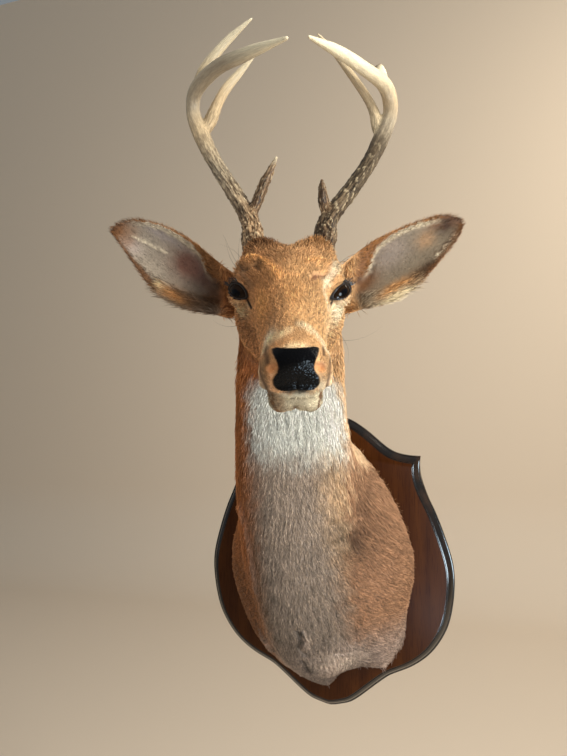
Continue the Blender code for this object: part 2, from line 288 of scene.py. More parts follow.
skinBuild = {
    "voxel": 0.0045,
    "grow": 0.0005,  # closes the gaps between the solids
    "rootReach": 0.014,  # how far the ears are carried on into the head
    "fine": 0.0031,  # longest edge on the head
    "finest": 0.0015,  # longest edge at the eyes, nose and mouth
}
eyeBall = {"radius": 0.0165, "azimuth": 36.0, "height": 9.0}
# each eye's centre and the reach of its lids, in degrees, round a slanting line
lids = {
    1: {"centre": (-0.001, 0.0500, -0.001), "tilt": 14.0, "outer": 43.0, "inner": 51.0, "upper": 31.0, "lower": 18.0},
    -1: {"centre": (-0.001, 0.0505, 0.0012), "tilt": 13.0, "outer": 50.0, "inner": 46.0, "upper": 37.0, "lower": 17.0},
}
nosePad = {
    "outline": [(0.0101, 0.0080), (0.0097, 0.0150), (0.0088, 0.0186), (0.0076, 0.0200), (0.0050, 0.0192),
                (0.0020, 0.0178), (-0.0005, 0.0164), (-0.0040, 0.0151), (-0.0068, 0.0147), (-0.0100, 0.0155),
                (-0.0129, 0.0171), (-0.0155, 0.0188), (-0.0180, 0.0197), (-0.0208, 0.0196), (-0.0235, 0.0188),
                (-0.0258, 0.0172), (-0.0274, 0.0145), (-0.0285, 0.0095), (-0.0291, 0.0010)],  # height, half width
    "slope": 0.302,  # the heights are read square to a line of sight from in front and above
    "behind": 0.1650,  # no pad further back than this
}
mouthPath = [(0.1905, 0.000, -0.0275), (0.1890, 0.010, -0.0278), (0.1850, 0.0195, -0.0285), (0.1760, 0.0265, -0.0320),
             (0.1600, 0.0310, -0.0375), (0.1400, 0.0330, -0.0420), (0.1220, 0.0335, -0.0450)]
chinFold = [(0.1500, 0.0270, -0.0480), (0.1640, 0.0245, -0.0545), (0.1730, 0.0180, -0.0575), (0.1765, 0.0080, -0.0585)]
ductPath = [(0.0155, 0.0475, -0.0010), (0.0215, 0.0450, -0.0045), (0.0290, 0.0420, -0.0085)]
# half width of the chin by its height, which its dark edge follows
chinWidth = [(-0.056, 0.0150), (-0.0495, 0.0176), (-0.0458, 0.0200), (-0.0411, 0.0208), (-0.0325, 0.0214)]
# the muzzle's pale rims, the wide one on the deer's left partly a painted highlight, and its dark creases, painted
# shade: path, width, depth, colour, strength, side
muzzleLines = [
    ([(0.1588, 0.0288, -0.0070), (0.1578, 0.0243, 0.0018), (0.1608, 0.0189, 0.0084), (0.1659, 0.0129, 0.0129),
      (0.1619, 0.0053, 0.0166)], 0.0042, -0.0008, "peach", 0.90, -1),
    ([(0.1507, 0.0070, 0.0166), (0.1545, 0.0188, 0.0087), (0.1544, 0.0267, -0.0027),
      (0.1640, 0.0290, -0.0080)], 0.0062, -0.0010, "wheat", 0.90, 1),
    ([(0.1592, 0.0251, 0.0006), (0.1750, 0.0246, 0.0000), (0.1900, 0.0231, -0.0009)],
     0.0022, 0.0018, "dark", 0.85, -1),
    ([(0.1665, 0.0243, 0.0023), (0.1820, 0.0236, 0.0016)], 0.0017, 0.0016, "dark", 0.85, 1),
    ([(0.1700, 0.0298, -0.0040), (0.1833, 0.0293, -0.0069), (0.1902, 0.0272, -0.0164), (0.1856, 0.0253, -0.0287)],
     0.0017, 0.0018, "dark", 0.90, 1),
    ([(0.1550, 0.0310, -0.0100), (0.1780, 0.0305, -0.0120), (0.1878, 0.0293, -0.0134), (0.1889, 0.0247, -0.0249)],
     0.0017, 0.0016, "dark", 0.85, -1),
]
nostrilPath = [(0.1965, 0.0175, -0.0030), (0.1950, 0.0195, -0.0035), (0.1935, 0.0210, -0.0050)]
alarPath = [(0.1800, 0.0265, 0.0000), (0.1850, 0.0275, -0.0060), (0.1880, 0.0265, -0.0110), (0.1890, 0.0250, -0.0150)]

# the edge of the cup on each ear, as (share of the length, metres upwards)
cupEdge = {
    1: [(0.10, 0.0125), (0.18, 0.0130), (0.26, 0.0110), (0.31, 0.0150), (0.345, 0.0210), (0.385, 0.0280),
        (0.45, 0.0325), (0.55, 0.0328), (0.65, 0.0308), (0.75, 0.0268), (0.83, 0.0215), (0.92, 0.0140), (1.0, 0.0060)],
    -1: [(0.10, 0.0125), (0.18, 0.0130), (0.26, 0.0110), (0.31, 0.0150), (0.345, 0.0210), (0.385, 0.0280),
         (0.45, 0.0325), (0.55, 0.0345), (0.62, 0.0348), (0.70, 0.0338), (0.80, 0.0302), (0.90, 0.0215),
         (1.0, 0.0080)],
}
lowEdge = [(0.10, -0.0160), (0.25, -0.0290), (0.36, -0.0345), (0.48, -0.0370), (0.62, -0.0310), (0.74, -0.0235),
           (0.88, -0.0140), (1.0, -0.0020)]
earRidge = [(0.60, 0.0102), (0.87, 0.0054)]  # the raised line down the cup

# folds on the head, their dark and rose creases painted shade: path, width, depth, colour, strength, side
headLines = [
    ([(-0.0210, 0.0562, 0.0288), (-0.0160, 0.0432, 0.0360), (-0.0001, 0.0306, 0.0373), (0.0199, 0.0198, 0.0344),
      (0.0420, 0.0120, 0.0300)], 0.0045, -0.0030, "orange", 0.90, -1),
    ([(-0.0120, 0.0566, 0.0279), (0.0020, 0.0450, 0.0304), (0.0050, 0.0350, 0.0326), (0.0140, 0.0290, 0.0315)],
     0.0027, 0.0028, "dark", 0.90, -1),
    ([(0.0131, 0.0174, 0.0373), (0.0043, 0.0318, 0.0359), (0.0031, 0.0450, 0.0309)],
     0.0040, -0.0020, "orange", 0.55, 1),
    ([(0.0371, 0.0213, 0.0285), (0.0263, 0.0261, 0.0297), (0.0188, 0.0362, 0.0280), (0.0060, 0.0465, 0.0290)],
     0.0022, 0.0024, "rose", 0.90, 1),
]
# pale bands round the eyes: path, width, colour, strength, side
eyeBands = [
    ([(-0.0043, 0.0522, 0.0289), (0.0140, 0.0463, 0.0217), (0.0267, 0.0399, 0.0145), (0.0360, 0.0385, 0.0060),
      (0.0400, 0.0395, -0.0050)], 0.0070, "cream", 0.75, 1),
    ([(-0.0040, 0.0545, 0.0240), (0.0100, 0.0500, 0.0205), (0.0240, 0.0440, 0.0120), (0.0300, 0.0430, 0.0000)],
     0.0055, "beige", 0.25, -1),
]
# folds and hollows of the neck and skirt, as (side, height) in the object's frame: path, width, depth, painted shade
# (above 0 darker in the hollow, below 0 a painted highlight on the ridge)
bodyLines = [
    ([(0.0625, 0.1040), (0.0640, 0.0780)], 0.0048, 0.0026, 0.46),
    ([(0.0765, 0.0820), (0.0795, 0.0540)], 0.0050, 0.0024, 0.46),
    ([(0.0715, 0.1050), (0.0725, 0.0780)], 0.0035, -0.0016, -0.05),
    ([(-0.0600, 0.1300), (-0.0490, 0.0760), (-0.0460, 0.0140)], 0.0045, -0.0024, -0.20),
    ([(-0.0470, 0.1000), (-0.0400, 0.0400), (-0.0380, -0.0100)], 0.0060, 0.0022, 0.15),
    ([(0.0030, -0.0860), (0.0044, -0.1046), (-0.0010, -0.1400)], 0.0022, 0.0060, 0.85),
    ([(0.0085, -0.0340), (0.0130, -0.0486), (0.0065, -0.0628), (0.0102, -0.0759)], 0.0024, 0.0034, 0.60),
    ([(0.0150, -0.0380), (0.0190, -0.0520), (0.0130, -0.0640)], 0.0026, -0.0026, -0.35),
    ([(0.0567, -0.0880), (0.0423, -0.1040), (0.0238, -0.1310)], 0.0120, -0.0032, -0.40),
    ([(0.0460, -0.0820), (0.0701, -0.0950), (0.0870, -0.1180)], 0.0030, 0.0012, 0.25),
    ([(-0.0700, -0.0850), (-0.0560, -0.0960)], 0.0070, -0.0050, -0.60),
    ([(-0.0450, -0.0860), (-0.0480, -0.1050)], 0.0026, 0.0035, 0.50),
    ([(0.0840, 0.2050), (0.0840, 0.1500), (0.0830, 0.1050)], 0.0075, 0.0060, 0.22),
]
# sideways places where the grey front of the neck ends, by height, on the deer's right and left
frontEdges = {"right": [(-0.10, -0.050), (0.00, -0.046), (0.084, -0.044), (0.163, -0.038), (0.24, -0.034)],
              "left": [(-0.10, 0.095), (0.00, 0.075), (0.084, 0.060), (0.163, 0.054), (0.24, 0.060)]}
# painted shade: how much darker the coat is painted lower down, by height
frontShade = [(-0.12, 0.50), (-0.06, 0.62), (0.0, 0.72), (0.05, 0.80), (0.12, 0.90), (0.20, 0.94)]
# how far the hem's edge moves up, by its place to the side
hemEdge = [(-0.050, 0.0), (-0.030, -0.004), (-0.014, -0.008), (0.000, -0.008), (0.008, -0.004), (0.0175, 0.004),
           (0.030, 0.011), (0.044, 0.014), (0.062, 0.008), (0.076, -0.002), (0.092, -0.011), (0.104, -0.007),
           (0.122, 0.0)]
# how much wider the chin is than the frame's, by height on the head
chinSpread = [(-0.060, 1.26), (-0.054, 1.24), (-0.050, 1.13), (-0.045, 0.97), (-0.040, 0.83), (-0.034, 0.76),
              (-0.029, 0.80)]
# swellings and hollows of brow, cheek and muzzle, on both sides: centre, radii, height
headForms = [
    ((0.010, 0.040, 0.036), (0.020, 0.016, 0.010), 0.0022),
    ((0.030, 0.036, 0.018), (0.016, 0.012, 0.012), -0.0030),
    ((0.012, 0.052, -0.022), (0.016, 0.014, 0.008), 0.0012),
    ((0.100, 0.030, -0.006), (0.030, 0.012, 0.010), -0.0016),
    ((0.135, 0.016, 0.018), (0.020, 0.010, 0.012), 0.0010),
    ((0.172, 0.028, -0.008), (0.012, 0.008, 0.014), 0.0016),
    ((0.150, 0.030, -0.026), (0.016, 0.010, 0.010), 0.0016),
    ((0.186, 0.012, -0.045), (0.010, 0.010, 0.010), 0.0012),
]
# small forms, each as (height or depth, half width); the nose pad stands evenly proud
smallForms = {
    "antlerFoot": (0.0075, 0.019), "mouth": (0.0042, 0.0014), "lip": (0.0014, 0.0025), "chinFold": (0.0016, 0.0028),
    "tearDuct": (0.0026, 0.0013), "nosePad": 0.0007, "nosePadGroove": (0.0009, 0.0009), "nostril": (0.0026, 0.0033),
    "nostrilWing": (0.0011, 0.0022), "cupEdge": (0.0016, 0.0018), "earRidge": (0.0009, 0.0016),
}
# the skin at each eye: its height over the ball, the swell of the lid, its depth inside the opening, and its reach
lidBuild = {"over": 0.0011, "swell": 0.0012, "behind": 0.0022, "reach": 0.030}


def eyeFrame(s):
    # centre, and the axes to the side (away from the nose), up and out through the middle of the lids
    azimuth, height, tilt = (radians(v) for v in (eyeBall["azimuth"], eyeBall["height"], lids[s]["tilt"]))
    out = np.array([cos(azimuth) * cos(height), sin(azimuth) * cos(height), sin(height)])
    away = unit(np.array([-sin(azimuth), cos(azimuth), 0.0]))
    up = np.cross(out, away)
    up *= np.sign(up[2])
    away, up = away * cos(tilt) + up * sin(tilt), up * cos(tilt) - away * sin(tilt)
    flip = np.array([1.0, s, 1.0])
    return np.array(lids[s]["centre"]) * flip, np.stack([away, up, out]) * flip


def lidReach(flat, s):
    # how far the opening goes this way from its middle, in degrees
    wide = np.where(flat[:, 0] > 0, lids[s]["outer"], lids[s]["inner"])
    tall = np.where(flat[:, 1] > 0, lids[s]["upper"], lids[s]["lower"])
    return 1 / ((np.abs(flat[:, 0]) / wide) ** 1.8 + (np.abs(flat[:, 1]) / tall) ** 1.8) ** (1 / 1.8)


def lidPlace(h, s):
    # for each head point: its ratio to the lids' opening (1 on the rim), its angles, and its distance from the centre
    centre, axes = eyeFrame(s)
    q = h - centre
    r = np.linalg.norm(q, axis=1)
    q = (q / np.maximum(r, 1e-9)[:, None]) @ axes.T
    angle = np.degrees(np.arccos(np.clip(q[:, 2], -1, 1)))
    around = unit(q[:, :2])
    return angle / lidReach(around, s), around * angle[:, None], r


def seen(h):
    # the face looked at from in front: out to the side, and up square to the line of sight
    h = np.asarray(h, float)
    return np.stack([np.abs(h[:, 1]), h[:, 2] - 0.45 * (h[:, 0] - 0.185)], 1)


def muzzleLine(h, path, width, s):
    d, _ = pathDistance(seen(h), seen(path))
    deep, _ = pathDistance(mirrored(h), path)
    return np.exp(-(d / width) ** 2 - (deep / 0.009) ** 4) * (h[:, 0] > 0.13) * (h[:, 1] * s > 0)


def ductReach(h):
    # distance from the tear ducts
    d, _ = pathDistance(seen(h), seen(ductPath))
    return np.where((h[:, 0] > 0) & (h[:, 0] < 0.06) & (h[:, 2] > -0.03), d, 1.0)


def padRatio(h):
    # below 1 inside the nose pad's outline
    heights, widths = np.array(nosePad["outline"])[::-1].T
    level = h[:, 2] - nosePad["slope"] * (h[:, 0] - 0.185)
    half = np.interp(level, heights, widths, left=0.0001, right=0.0001)
    ratio = np.abs(h[:, 1]) / half
    top = 1 + (level - heights[-1]) / 0.012
    ratio = np.maximum(ratio, top)
    return np.where((h[:, 0] < nosePad["behind"]) | (level < heights[0]), 9, ratio)


def earMesh(name):
    # one ear, rounded, with its cut end carried on into the head
    bm = bmesh.new()
    mergedCopy(bm, "ear_" + name, 0.0)
    others = bmesh.new()
    for other in ("head", "neck"):
        others.from_mesh(nodes[other].data)
    tree = BVHTree.FromBMesh(others)
    for vert in bm.verts:
        _, normal, _, distance = tree.find_nearest(vert.co)
        if distance < 0.0007:
            vert.co -= normal * skinBuild["rootReach"]
    others.free()
    bmesh.ops.recalc_face_normals(bm, faces=bm.faces)
    ob = scratchObject("earForm", bm)
    addModifier(ob, "SUBSURF", levels=2, render_levels=2)
    return bakedMesh(ob)


def splitEdges(bm, inside, longest):
    # halve every edge longer than this where inside(h) is true
    co = np.array([v.co for v in bm.verts])
    keep = inside(toHead(co))
    bm.verts.index_update()
    edges = [e for e in bm.edges if keep[e.verts[0].index] and keep[e.verts[1].index] and e.calc_length() > longest]
    bmesh.ops.subdivide_edges(bm, edges=edges, cuts=1, use_grid_fill=True)


def onHead(h):
    return (h[:, 0] > -0.075) & (np.abs(h[:, 1]) < 0.085)


def onFeatures(h):
    centre = np.array(lids[1]["centre"])
    m = mirrored(h)
    eye = np.linalg.norm(m - centre, axis=1) < 0.028
    nose = (h[:, 0] > 0.158) & (h[:, 2] > -0.064)
    mouth = pathDistance(m, mouthPath)[0] < 0.006
    return eye | nose | mouth


def bodyMesh():
    bm = bmesh.new()
    for name in ("shoulders", "neck", "head", "eye_left", "eye_right"):
        mergedCopy(bm, name, skinBuild["grow"])
    ob = scratchObject("bodyForm", bm)
    addModifier(ob, "REMESH", mode="VOXEL", voxel_size=skinBuild["voxel"])
    return bakedMesh(ob)


def coatDepth(h):
    # how far the skin lies inside the coat's outline
    neck = fade(-0.05, -0.16, h[:, 0] + 0.35 * (h[:, 2] + 0.05))
    face = 0.0012 + 0.0016 * fade(0.16, 0.02, h[:, 0])
    depth = face * (1 - neck) + 0.0062 * neck
    ear = fade(0.088, 0.100, np.abs(h[:, 1])) * (h[:, 2] > -0.09)
    return depth * (1 - ear) + 0.0004 * ear


def makeSkin():
    body = bodyMesh()
    ob = placed("skinForm", body)
    # facets go before the ears come on
    co, tri = readMesh(body)
    co = relaxed(co, tri, np.full(len(co), 0.5), 5)
    h = toHead(co)
    normal = vertexNormals(co, tri, 3)
    shift = -normal * coatDepth(h)[:, None]
    shift[co[:, 1] > -0.030, 1] = 0
    co = co + shift
    body.vertices.foreach_set("co", co.astype(np.float32).ravel())
    body.update()
    for name in ("left", "right"):
        ear = placed("earForm" + name, earMesh(name))
        addModifier(ob, "BOOLEAN", operation="UNION", solver="MANIFOLD", object=ear)
    mesh = bakedMesh(ob)
    for name in ("left", "right"):
        bpy.data.objects.remove(bpy.data.objects["earForm" + name])
    bm = bmesh.new()
    bm.from_mesh(mesh)
    bmesh.ops.remove_doubles(bm, verts=bm.verts, dist=0.0001)
    print("skin joined:", len(bm.faces), "faces")
    splitEdges(bm, onHead, skinBuild["fine"])
    splitEdges(bm, onFeatures, skinBuild["finest"])
    bmesh.ops.triangulate(bm, faces=bm.faces)
    mesh = bpy.data.meshes.new("skinMesh")
    bm.to_mesh(mesh)
    bm.free()
    return readMesh(mesh)


def sculptSkin(co, tri):
    h = toHead(co)
    # even the mesh after the splits, and soften the joint of ear and head
    ear = fade(0.088, 0.100, np.abs(h[:, 1])) * (h[:, 2] > -0.09) * (h[:, 0] < -0.04)
    joint = bell(np.abs(h[:, 1]) - 0.078, 0.012) * (h[:, 0] < -0.05) * (h[:, 0] > -0.14) * (h[:, 2] > -0.05)
    weight = 0.5 * np.clip(onHead(h) * (1 - ear) * 0.6 + joint, 0, 1)
    co = relaxed(co, tri, weight, 8)
    h = toHead(co)
    m = mirrored(h)
    normal = vertexNormals(co, tri, 2)
    raised = np.zeros(len(co))

    def ridge(name, distance):
        height, width = smallForms[name]
        return height * bell(distance, width)

    for centre, radii, height in headForms:
        raised += height * blob(h, centre, radii)
    for path, width, depth, _, _, s in headLines:
        raised -= depth * headFold(h, path, width, s)
    for path, width, depth, _ in bodyLines:
        d, _ = pathDistance(co[:, [0, 2]], path)
        raised -= depth * bell(d, width) * fade(-0.03, -0.06, co[:, 1]) * fade(0.2, -0.1, normal[:, 1])
    # hair heaped round the feet of the antlers
    for s in (1, -1):
        away = np.linalg.norm(co - levelPoint(s * 0.041, -0.038, 0.050), axis=1)
        raised += ridge("antlerFoot", away)
    hang = fade(-0.13, -0.04, co[:, 1]) * fade(-0.06, -0.12, co[:, 2])
    co = co + (hang * lookUp(co[:, 0], hemEdge))[:, None] * upAxis
    front = fade(0.145, 0.165, h[:, 0]) * fade(-0.028, -0.031, h[:, 2])
    wider = lookUp(h[:, 2], chinSpread)
    co = co + (front * (wider - 1) * h[:, 1])[:, None] * sideAxis
    corner = fade(0.004, 0.012, m[:, 1]) * fade(0.026, 0.018, m[:, 1]) * fade(-0.037, -0.046, h[:, 2])
    co = co - (0.0034 * corner * front)[:, None] * browAxis
    # mouth, and the fold behind the chin
    d, place = pathDistance(m, mouthPath)
    raised -= ridge("mouth", d) * fade(1.0, 0.8, place)
    raised += ridge("lip", d - 0.0045) * fade(1.0, 0.7, place)
    d, _ = pathDistance(m, chinFold)
    raised -= ridge("chinFold", d)
    raised -= 0.0038 * np.exp(-((h[:, 1] / 0.0018) ** 2) - ((h[:, 2] + 0.054) / 0.007) ** 2) * (h[:, 0] > 0.15)
    raised -= ridge("tearDuct", ductReach(h))
    # nose pad stands a little proud, and the nostrils are hollowed beside its waist
    pad = fade(1.06, 0.94, padRatio(h))
    raised += smallForms["nosePad"] * pad
    depth, width = smallForms["nosePadGroove"]
    raised -= depth * pad * bell(h[:, 1], width) * fade(-0.010, -0.016, h[:, 2])
    for path, width, depth, _, _, s in muzzleLines:
        raised -= depth * muzzleLine(h, path, width + 0.0003, s) * (1 - pad)
    d, _ = pathDistance(m, nostrilPath)
    depth, width = smallForms["nostril"]
    deep = bell(d, width) * (1 - pad)
    co = co + normal * raised[:, None]
    inward = unit(-(0.75 * alongAxis) - 0.66 * np.sign(h[:, 1])[:, None] * sideAxis)
    co = co + inward * (depth * deep)[:, None]
    height, width = smallForms["nostrilWing"]
    wing = bell(d - 0.0056, width) * (1 - pad) * (m[:, 1] > 0.020)
    co = co + normal * (height * wing)[:, None]
    for s in (1, -1):
        e = toEar(co, s)
        isEar = earShare(h, s, 0.070, 0.084) * fade(0.96, 0.86, e[:, 0])
        inner = fade(0.1, 0.6, normal @ earFrames[s][1][2])
        above = e[:, 1] - lookUp(e[:, 0], cupEdge[s])
        rooted = fade(0.14, 0.28, e[:, 0]) * fade(0.62, 0.42, e[:, 0])
        lift = ridge("cupEdge", above)
        lift += rooted * (0.0022 * bell(above - 0.0060, 0.0050) - 0.0030 * bell(above + 0.0065, 0.0045))
        ridged = ridge("earRidge", e[:, 1] - lookUp(e[:, 0], earRidge))
        lift += ridged * fade(0.50, 0.62, e[:, 0]) * fade(0.92, 0.84, e[:, 0])
        co = co + (isEar * inner * lift)[:, None] * unit(earFrames[s][1][2])
    # lids round each eye: the skin runs over the ball outside the opening and behind it inside
    h = toHead(co)
    for s in (1, -1):
        centre, axes = eyeFrame(s)
        ratio, _, r = lidPlace(h, s)
        near = (np.linalg.norm(h - centre, axis=1) < lidBuild["reach"]) & (h[:, 1] * s > 0.015)
        near &= (h - centre) @ axes[2] > -0.004
        ball = eyeBall["radius"]
        inside = fade(1.05, 0.93, ratio)
        swell = lidBuild["swell"]
        rim = ball + lidBuild["over"] + swell * bell(ratio - 1.10, 0.10) - swell * bell(ratio - 1.50, 0.13)
        hug = fade(2.3, 1.3, ratio)
        outside = np.maximum(r, rim) * (1 - hug) + (rim + 0.35 * np.maximum(r - rim, 0)) * hug
        target = outside * (1 - inside) + (ball - lidBuild["behind"]) * inside
        scale = np.where(near, target / np.maximum(r, 1e-6), 1)
        h = centre + (h - centre) * scale[:, None]
    return fromHead(h)


skinCo, skinTri = makeSkin()
skinCo = sculptSkin(skinCo, skinTri)
print("skin sculpted:", len(skinCo), "points,", len(skinTri), "triangles")
skinNormal = vertexNormals(skinCo, skinTri, 4)
skin = writeMesh("skin", skinCo, skinTri)


coatColours = {
    # rust and tan, neckLeft and neckRight, and flank differ partly as painted light and shade on the two sides
    "tan": (0.670, 0.415, 0.205), "rust": (0.600, 0.300, 0.130), "red": (0.500, 0.280, 0.135),
    "dark": (0.085, 0.045, 0.024), "crown": (0.150, 0.070, 0.030), "brown": (0.240, 0.110, 0.045),
    "orange": (0.800, 0.410, 0.150), "cream": (0.920, 0.820, 0.620), "peach": (0.920, 0.680, 0.410),
    "beige": (0.520, 0.380, 0.260), "wheat": (0.920, 0.740, 0.500), "white": (0.920, 0.960, 0.920),
    "chin": (0.580, 0.530, 0.390), "neckFront": (0.400, 0.325, 0.265), "neckLeft": (0.760, 0.540, 0.340),
    "neckRight": (0.450, 0.168, 0.055), "nape": (0.270, 0.145, 0.070), "shoulder": (0.410, 0.230, 0.132),
    "flank": (0.290, 0.120, 0.045), "hem": (0.450, 0.360, 0.315), "black": (0.012, 0.009, 0.008),
    "earInside": (0.300, 0.262, 0.215), "earPink": (0.190, 0.090, 0.065), "earRoot": (0.130, 0.065, 0.032),
    "earOutside": (0.290, 0.135, 0.048), "lilac": (0.380, 0.335, 0.320), "sable": (0.440, 0.250, 0.120),
    "nostril": (0.540, 0.215, 0.075), "alar": (0.330, 0.210, 0.110), "umber": (0.300, 0.145, 0.055),
    "rose": (0.330, 0.170, 0.110),
}
# on the head: centre (along, out, up), radii, colour, strength; both sides unless a side is given
headStrokes = [
    ((-0.030, 0.000, 0.045), (0.055, 0.060, 0.030), "red", 0.75, 0),
    ((-0.050, 0.026, 0.047), (0.020, 0.022, 0.014), "crown", 1.00, -1),
    ((-0.055, 0.034, 0.050), (0.026, 0.022, 0.018), "umber", 0.90, 1),
    ((0.026, 0.037, 0.021), (0.013, 0.009, 0.009), "brown", 0.50, -1),
    ((0.052, 0.022, 0.024), (0.013, 0.009, 0.009), "sable", 0.60, 1),
    ((0.085, 0.000, 0.030), (0.045, 0.012, 0.014), "orange", 0.40, 0),
    # painted light and shade as well as colour: the cheek is darker on the deer's right and paler on its left
    ((0.030, 0.052, -0.042), (0.050, 0.014, 0.018), "brown", 0.45, -1),
    ((0.070, 0.052, -0.030), (0.060, 0.020, 0.030), "wheat", 0.50, 1),
    ((0.010, 0.054, -0.0150), (0.014, 0.014, 0.0085), "peach", 0.85, -1),
    ((0.010, 0.054, -0.0190), (0.018, 0.015, 0.0120), "cream", 1.00, 1),
    ((0.171, 0.000, 0.016), (0.009, 0.018, 0.007), "sable", 0.60, 0),
    ((0.187, 0.000, 0.0125), (0.005, 0.018, 0.004), "peach", 0.90, 0),
    ((0.190, 0.0215, -0.0215), (0.005, 0.005, 0.006), "chin", 0.85, 1),
    ((0.186, 0.026, -0.008), (0.008, 0.006, 0.012), "sable", 0.75, 0),
    # painted shade on the deer's right nostril
    ((0.190, 0.0240, -0.0040), (0.009, 0.005, 0.007), "umber", 0.90, -1),
    ((0.188, 0.0290, -0.0120), (0.010, 0.007, 0.012), "alar", 0.55, 1),
    ((0.012, 0.050, 0.014), (0.014, 0.010, 0.008), "brown", 0.60, -1),
    ((0.120, 0.022, 0.016), (0.014, 0.010, 0.012), "sable", 0.50, -1),
    # painted light on the shaded right side of the bridge and of the muzzle's rim
    ((0.072, 0.031, 0.010), (0.035, 0.010, 0.014), "orange", 0.80, -1),
    ((0.150, 0.028, 0.006), (0.014, 0.010, 0.012), "cream", 0.95, -1),
    ((0.172, 0.028, -0.026), (0.020, 0.010, 0.008), "cream", 0.45, 0),
]


def plain(colour, count):
    return np.tile(np.array(coatColours[colour]), (count, 1))


def mixIn(rgb, colour, weight):
    weight = np.clip(weight, 0, 1)[:, None]
    return rgb * (1 - weight) + np.array(coatColours[colour] if isinstance(colour, str) else colour) * weight

# inside each ear: centre (share, metres upwards), radii, colour, strength
earStrokes = {
    -1: [((0.44, 0.010), (0.12, 0.017), "earPink", 0.95), ((0.30, 0.008), (0.08, 0.012), "earPink", 0.80),
         ((0.16, 0.000), (0.11, 0.030), "earRoot", 0.95), ((0.70, 0.026), (0.13, 0.005), "lilac", 0.80),
         ((0.84, -0.006), (0.08, 0.010), "lilac", 0.60), ((0.32, -0.028), (0.14, 0.009), "brown", 0.70),
         ((0.40, -0.0330), (0.12, 0.0060), "orange", 0.70), ((0.508, -0.0320), (0.045, 0.0050), "peach", 1.00),
         ((0.97, 0.004), (0.05, 0.016), "brown", 0.90), ((0.89, 0.002), (0.06, 0.018), "brown", 0.50)],
    1: [((0.49, 0.016), (0.12, 0.016), "lilac", 0.90), ((0.22, 0.003), (0.12, 0.011), "brown", 0.85),
        ((0.74, 0.006), (0.07, 0.009), "orange", 0.28), ((0.36, -0.024), (0.15, 0.006), "orange", 0.70),
        ((0.30, -0.033), (0.20, 0.005), "cream", 0.95), ((0.46, -0.030), (0.07, 0.004), "brown", 0.60),
        ((0.62, -0.026), (0.11, 0.007), "dark", 0.85), ((0.91, 0.010), (0.08, 0.012), "dark", 1.00),
        ((0.84, 0.016), (0.05, 0.006), "brown", 0.60)],
}
# the fold on the deer's left ear, where a painted shadow line and a painted highlight run: (share, metres upwards)
earFlap = [(0.730, -0.0208), (0.804, -0.0178), (0.879, -0.0129), (0.930, -0.0090)]


def earMarkings(p, n, s):
    e = toEar(p, s)
    inner = fade(-0.1, 0.25, n @ earFrames[s][1][2])
    t, up = e[:, 0] + 0.012 * waves(p, 0.014, 51), e[:, 1] + 0.0016 * waves(p, 0.010, 52)
    above = up - lookUp(t, cupEdge[s])
    below = up - lookUp(t, lowEdge)
    cup = plain("earInside", len(p))
    for centre, radii, colour, strength in earStrokes[s]:
        q = ((t - centre[0]) / radii[0]) ** 2 + ((up - centre[1]) / radii[1]) ** 2
        cup = mixIn(cup, colour, strength * np.minimum(1.3 * np.exp(-q), 1))
    if s > 0:
        cup = cup * (0.74, 0.70, 0.62)
        # painted shade in the fold's crease, and a painted highlight along its edge
        flap = np.stack([t, up], 1) * (0.18, 1)
        flapPath = np.array(earFlap) * (0.18, 1)
        d, _ = pathDistance(flap, flapPath + (0, 0.0042))
        cup = mixIn(cup, "dark", 0.85 * bell(d, 0.0016))
        d, _ = pathDistance(flap, flapPath)
        cup = mixIn(cup, "cream", np.minimum(1.3 * bell(d, 0.0024), 1))
    cup = mixIn(cup, "cream", 0.6 * bell(above + 0.0026, 0.0022) * fade(0.22, 0.34, t) * fade(0.92, 0.8, t))
    speckle = fade(0.05, 0.5, waves(p, 0.0035, 53, 2)) * fade(0.011, 0.004, below) * fade(0.50, 0.62, t)
    cup = mixIn(cup, "dark", 0.7 * speckle)
    cup = mixIn(cup, "crown", 0.9 * fade(0.005, 0.002, below) * fade(0.40, 0.55, t))
    cup = mixIn(cup, "crown", 0.9 * fade(0.91, 0.99, t + 0.3 * np.abs(up)))
    ridged = bell(up - lookUp(t, earRidge), 0.0011)
    cup = mixIn(cup, "cream", 0.7 * ridged * fade(0.56, 0.66, t) * fade(0.90, 0.82, t) * (s < 0))
    back = mixIn(plain("earOutside", len(p)), "crown", fade(0.7, 0.98, t))
    over = fade(-0.0004, 0.0012, above)[:, None]
    cup = cup * (1 - over) + back * over
    return back * (1 - inner[:, None]) + cup * inner[:, None]


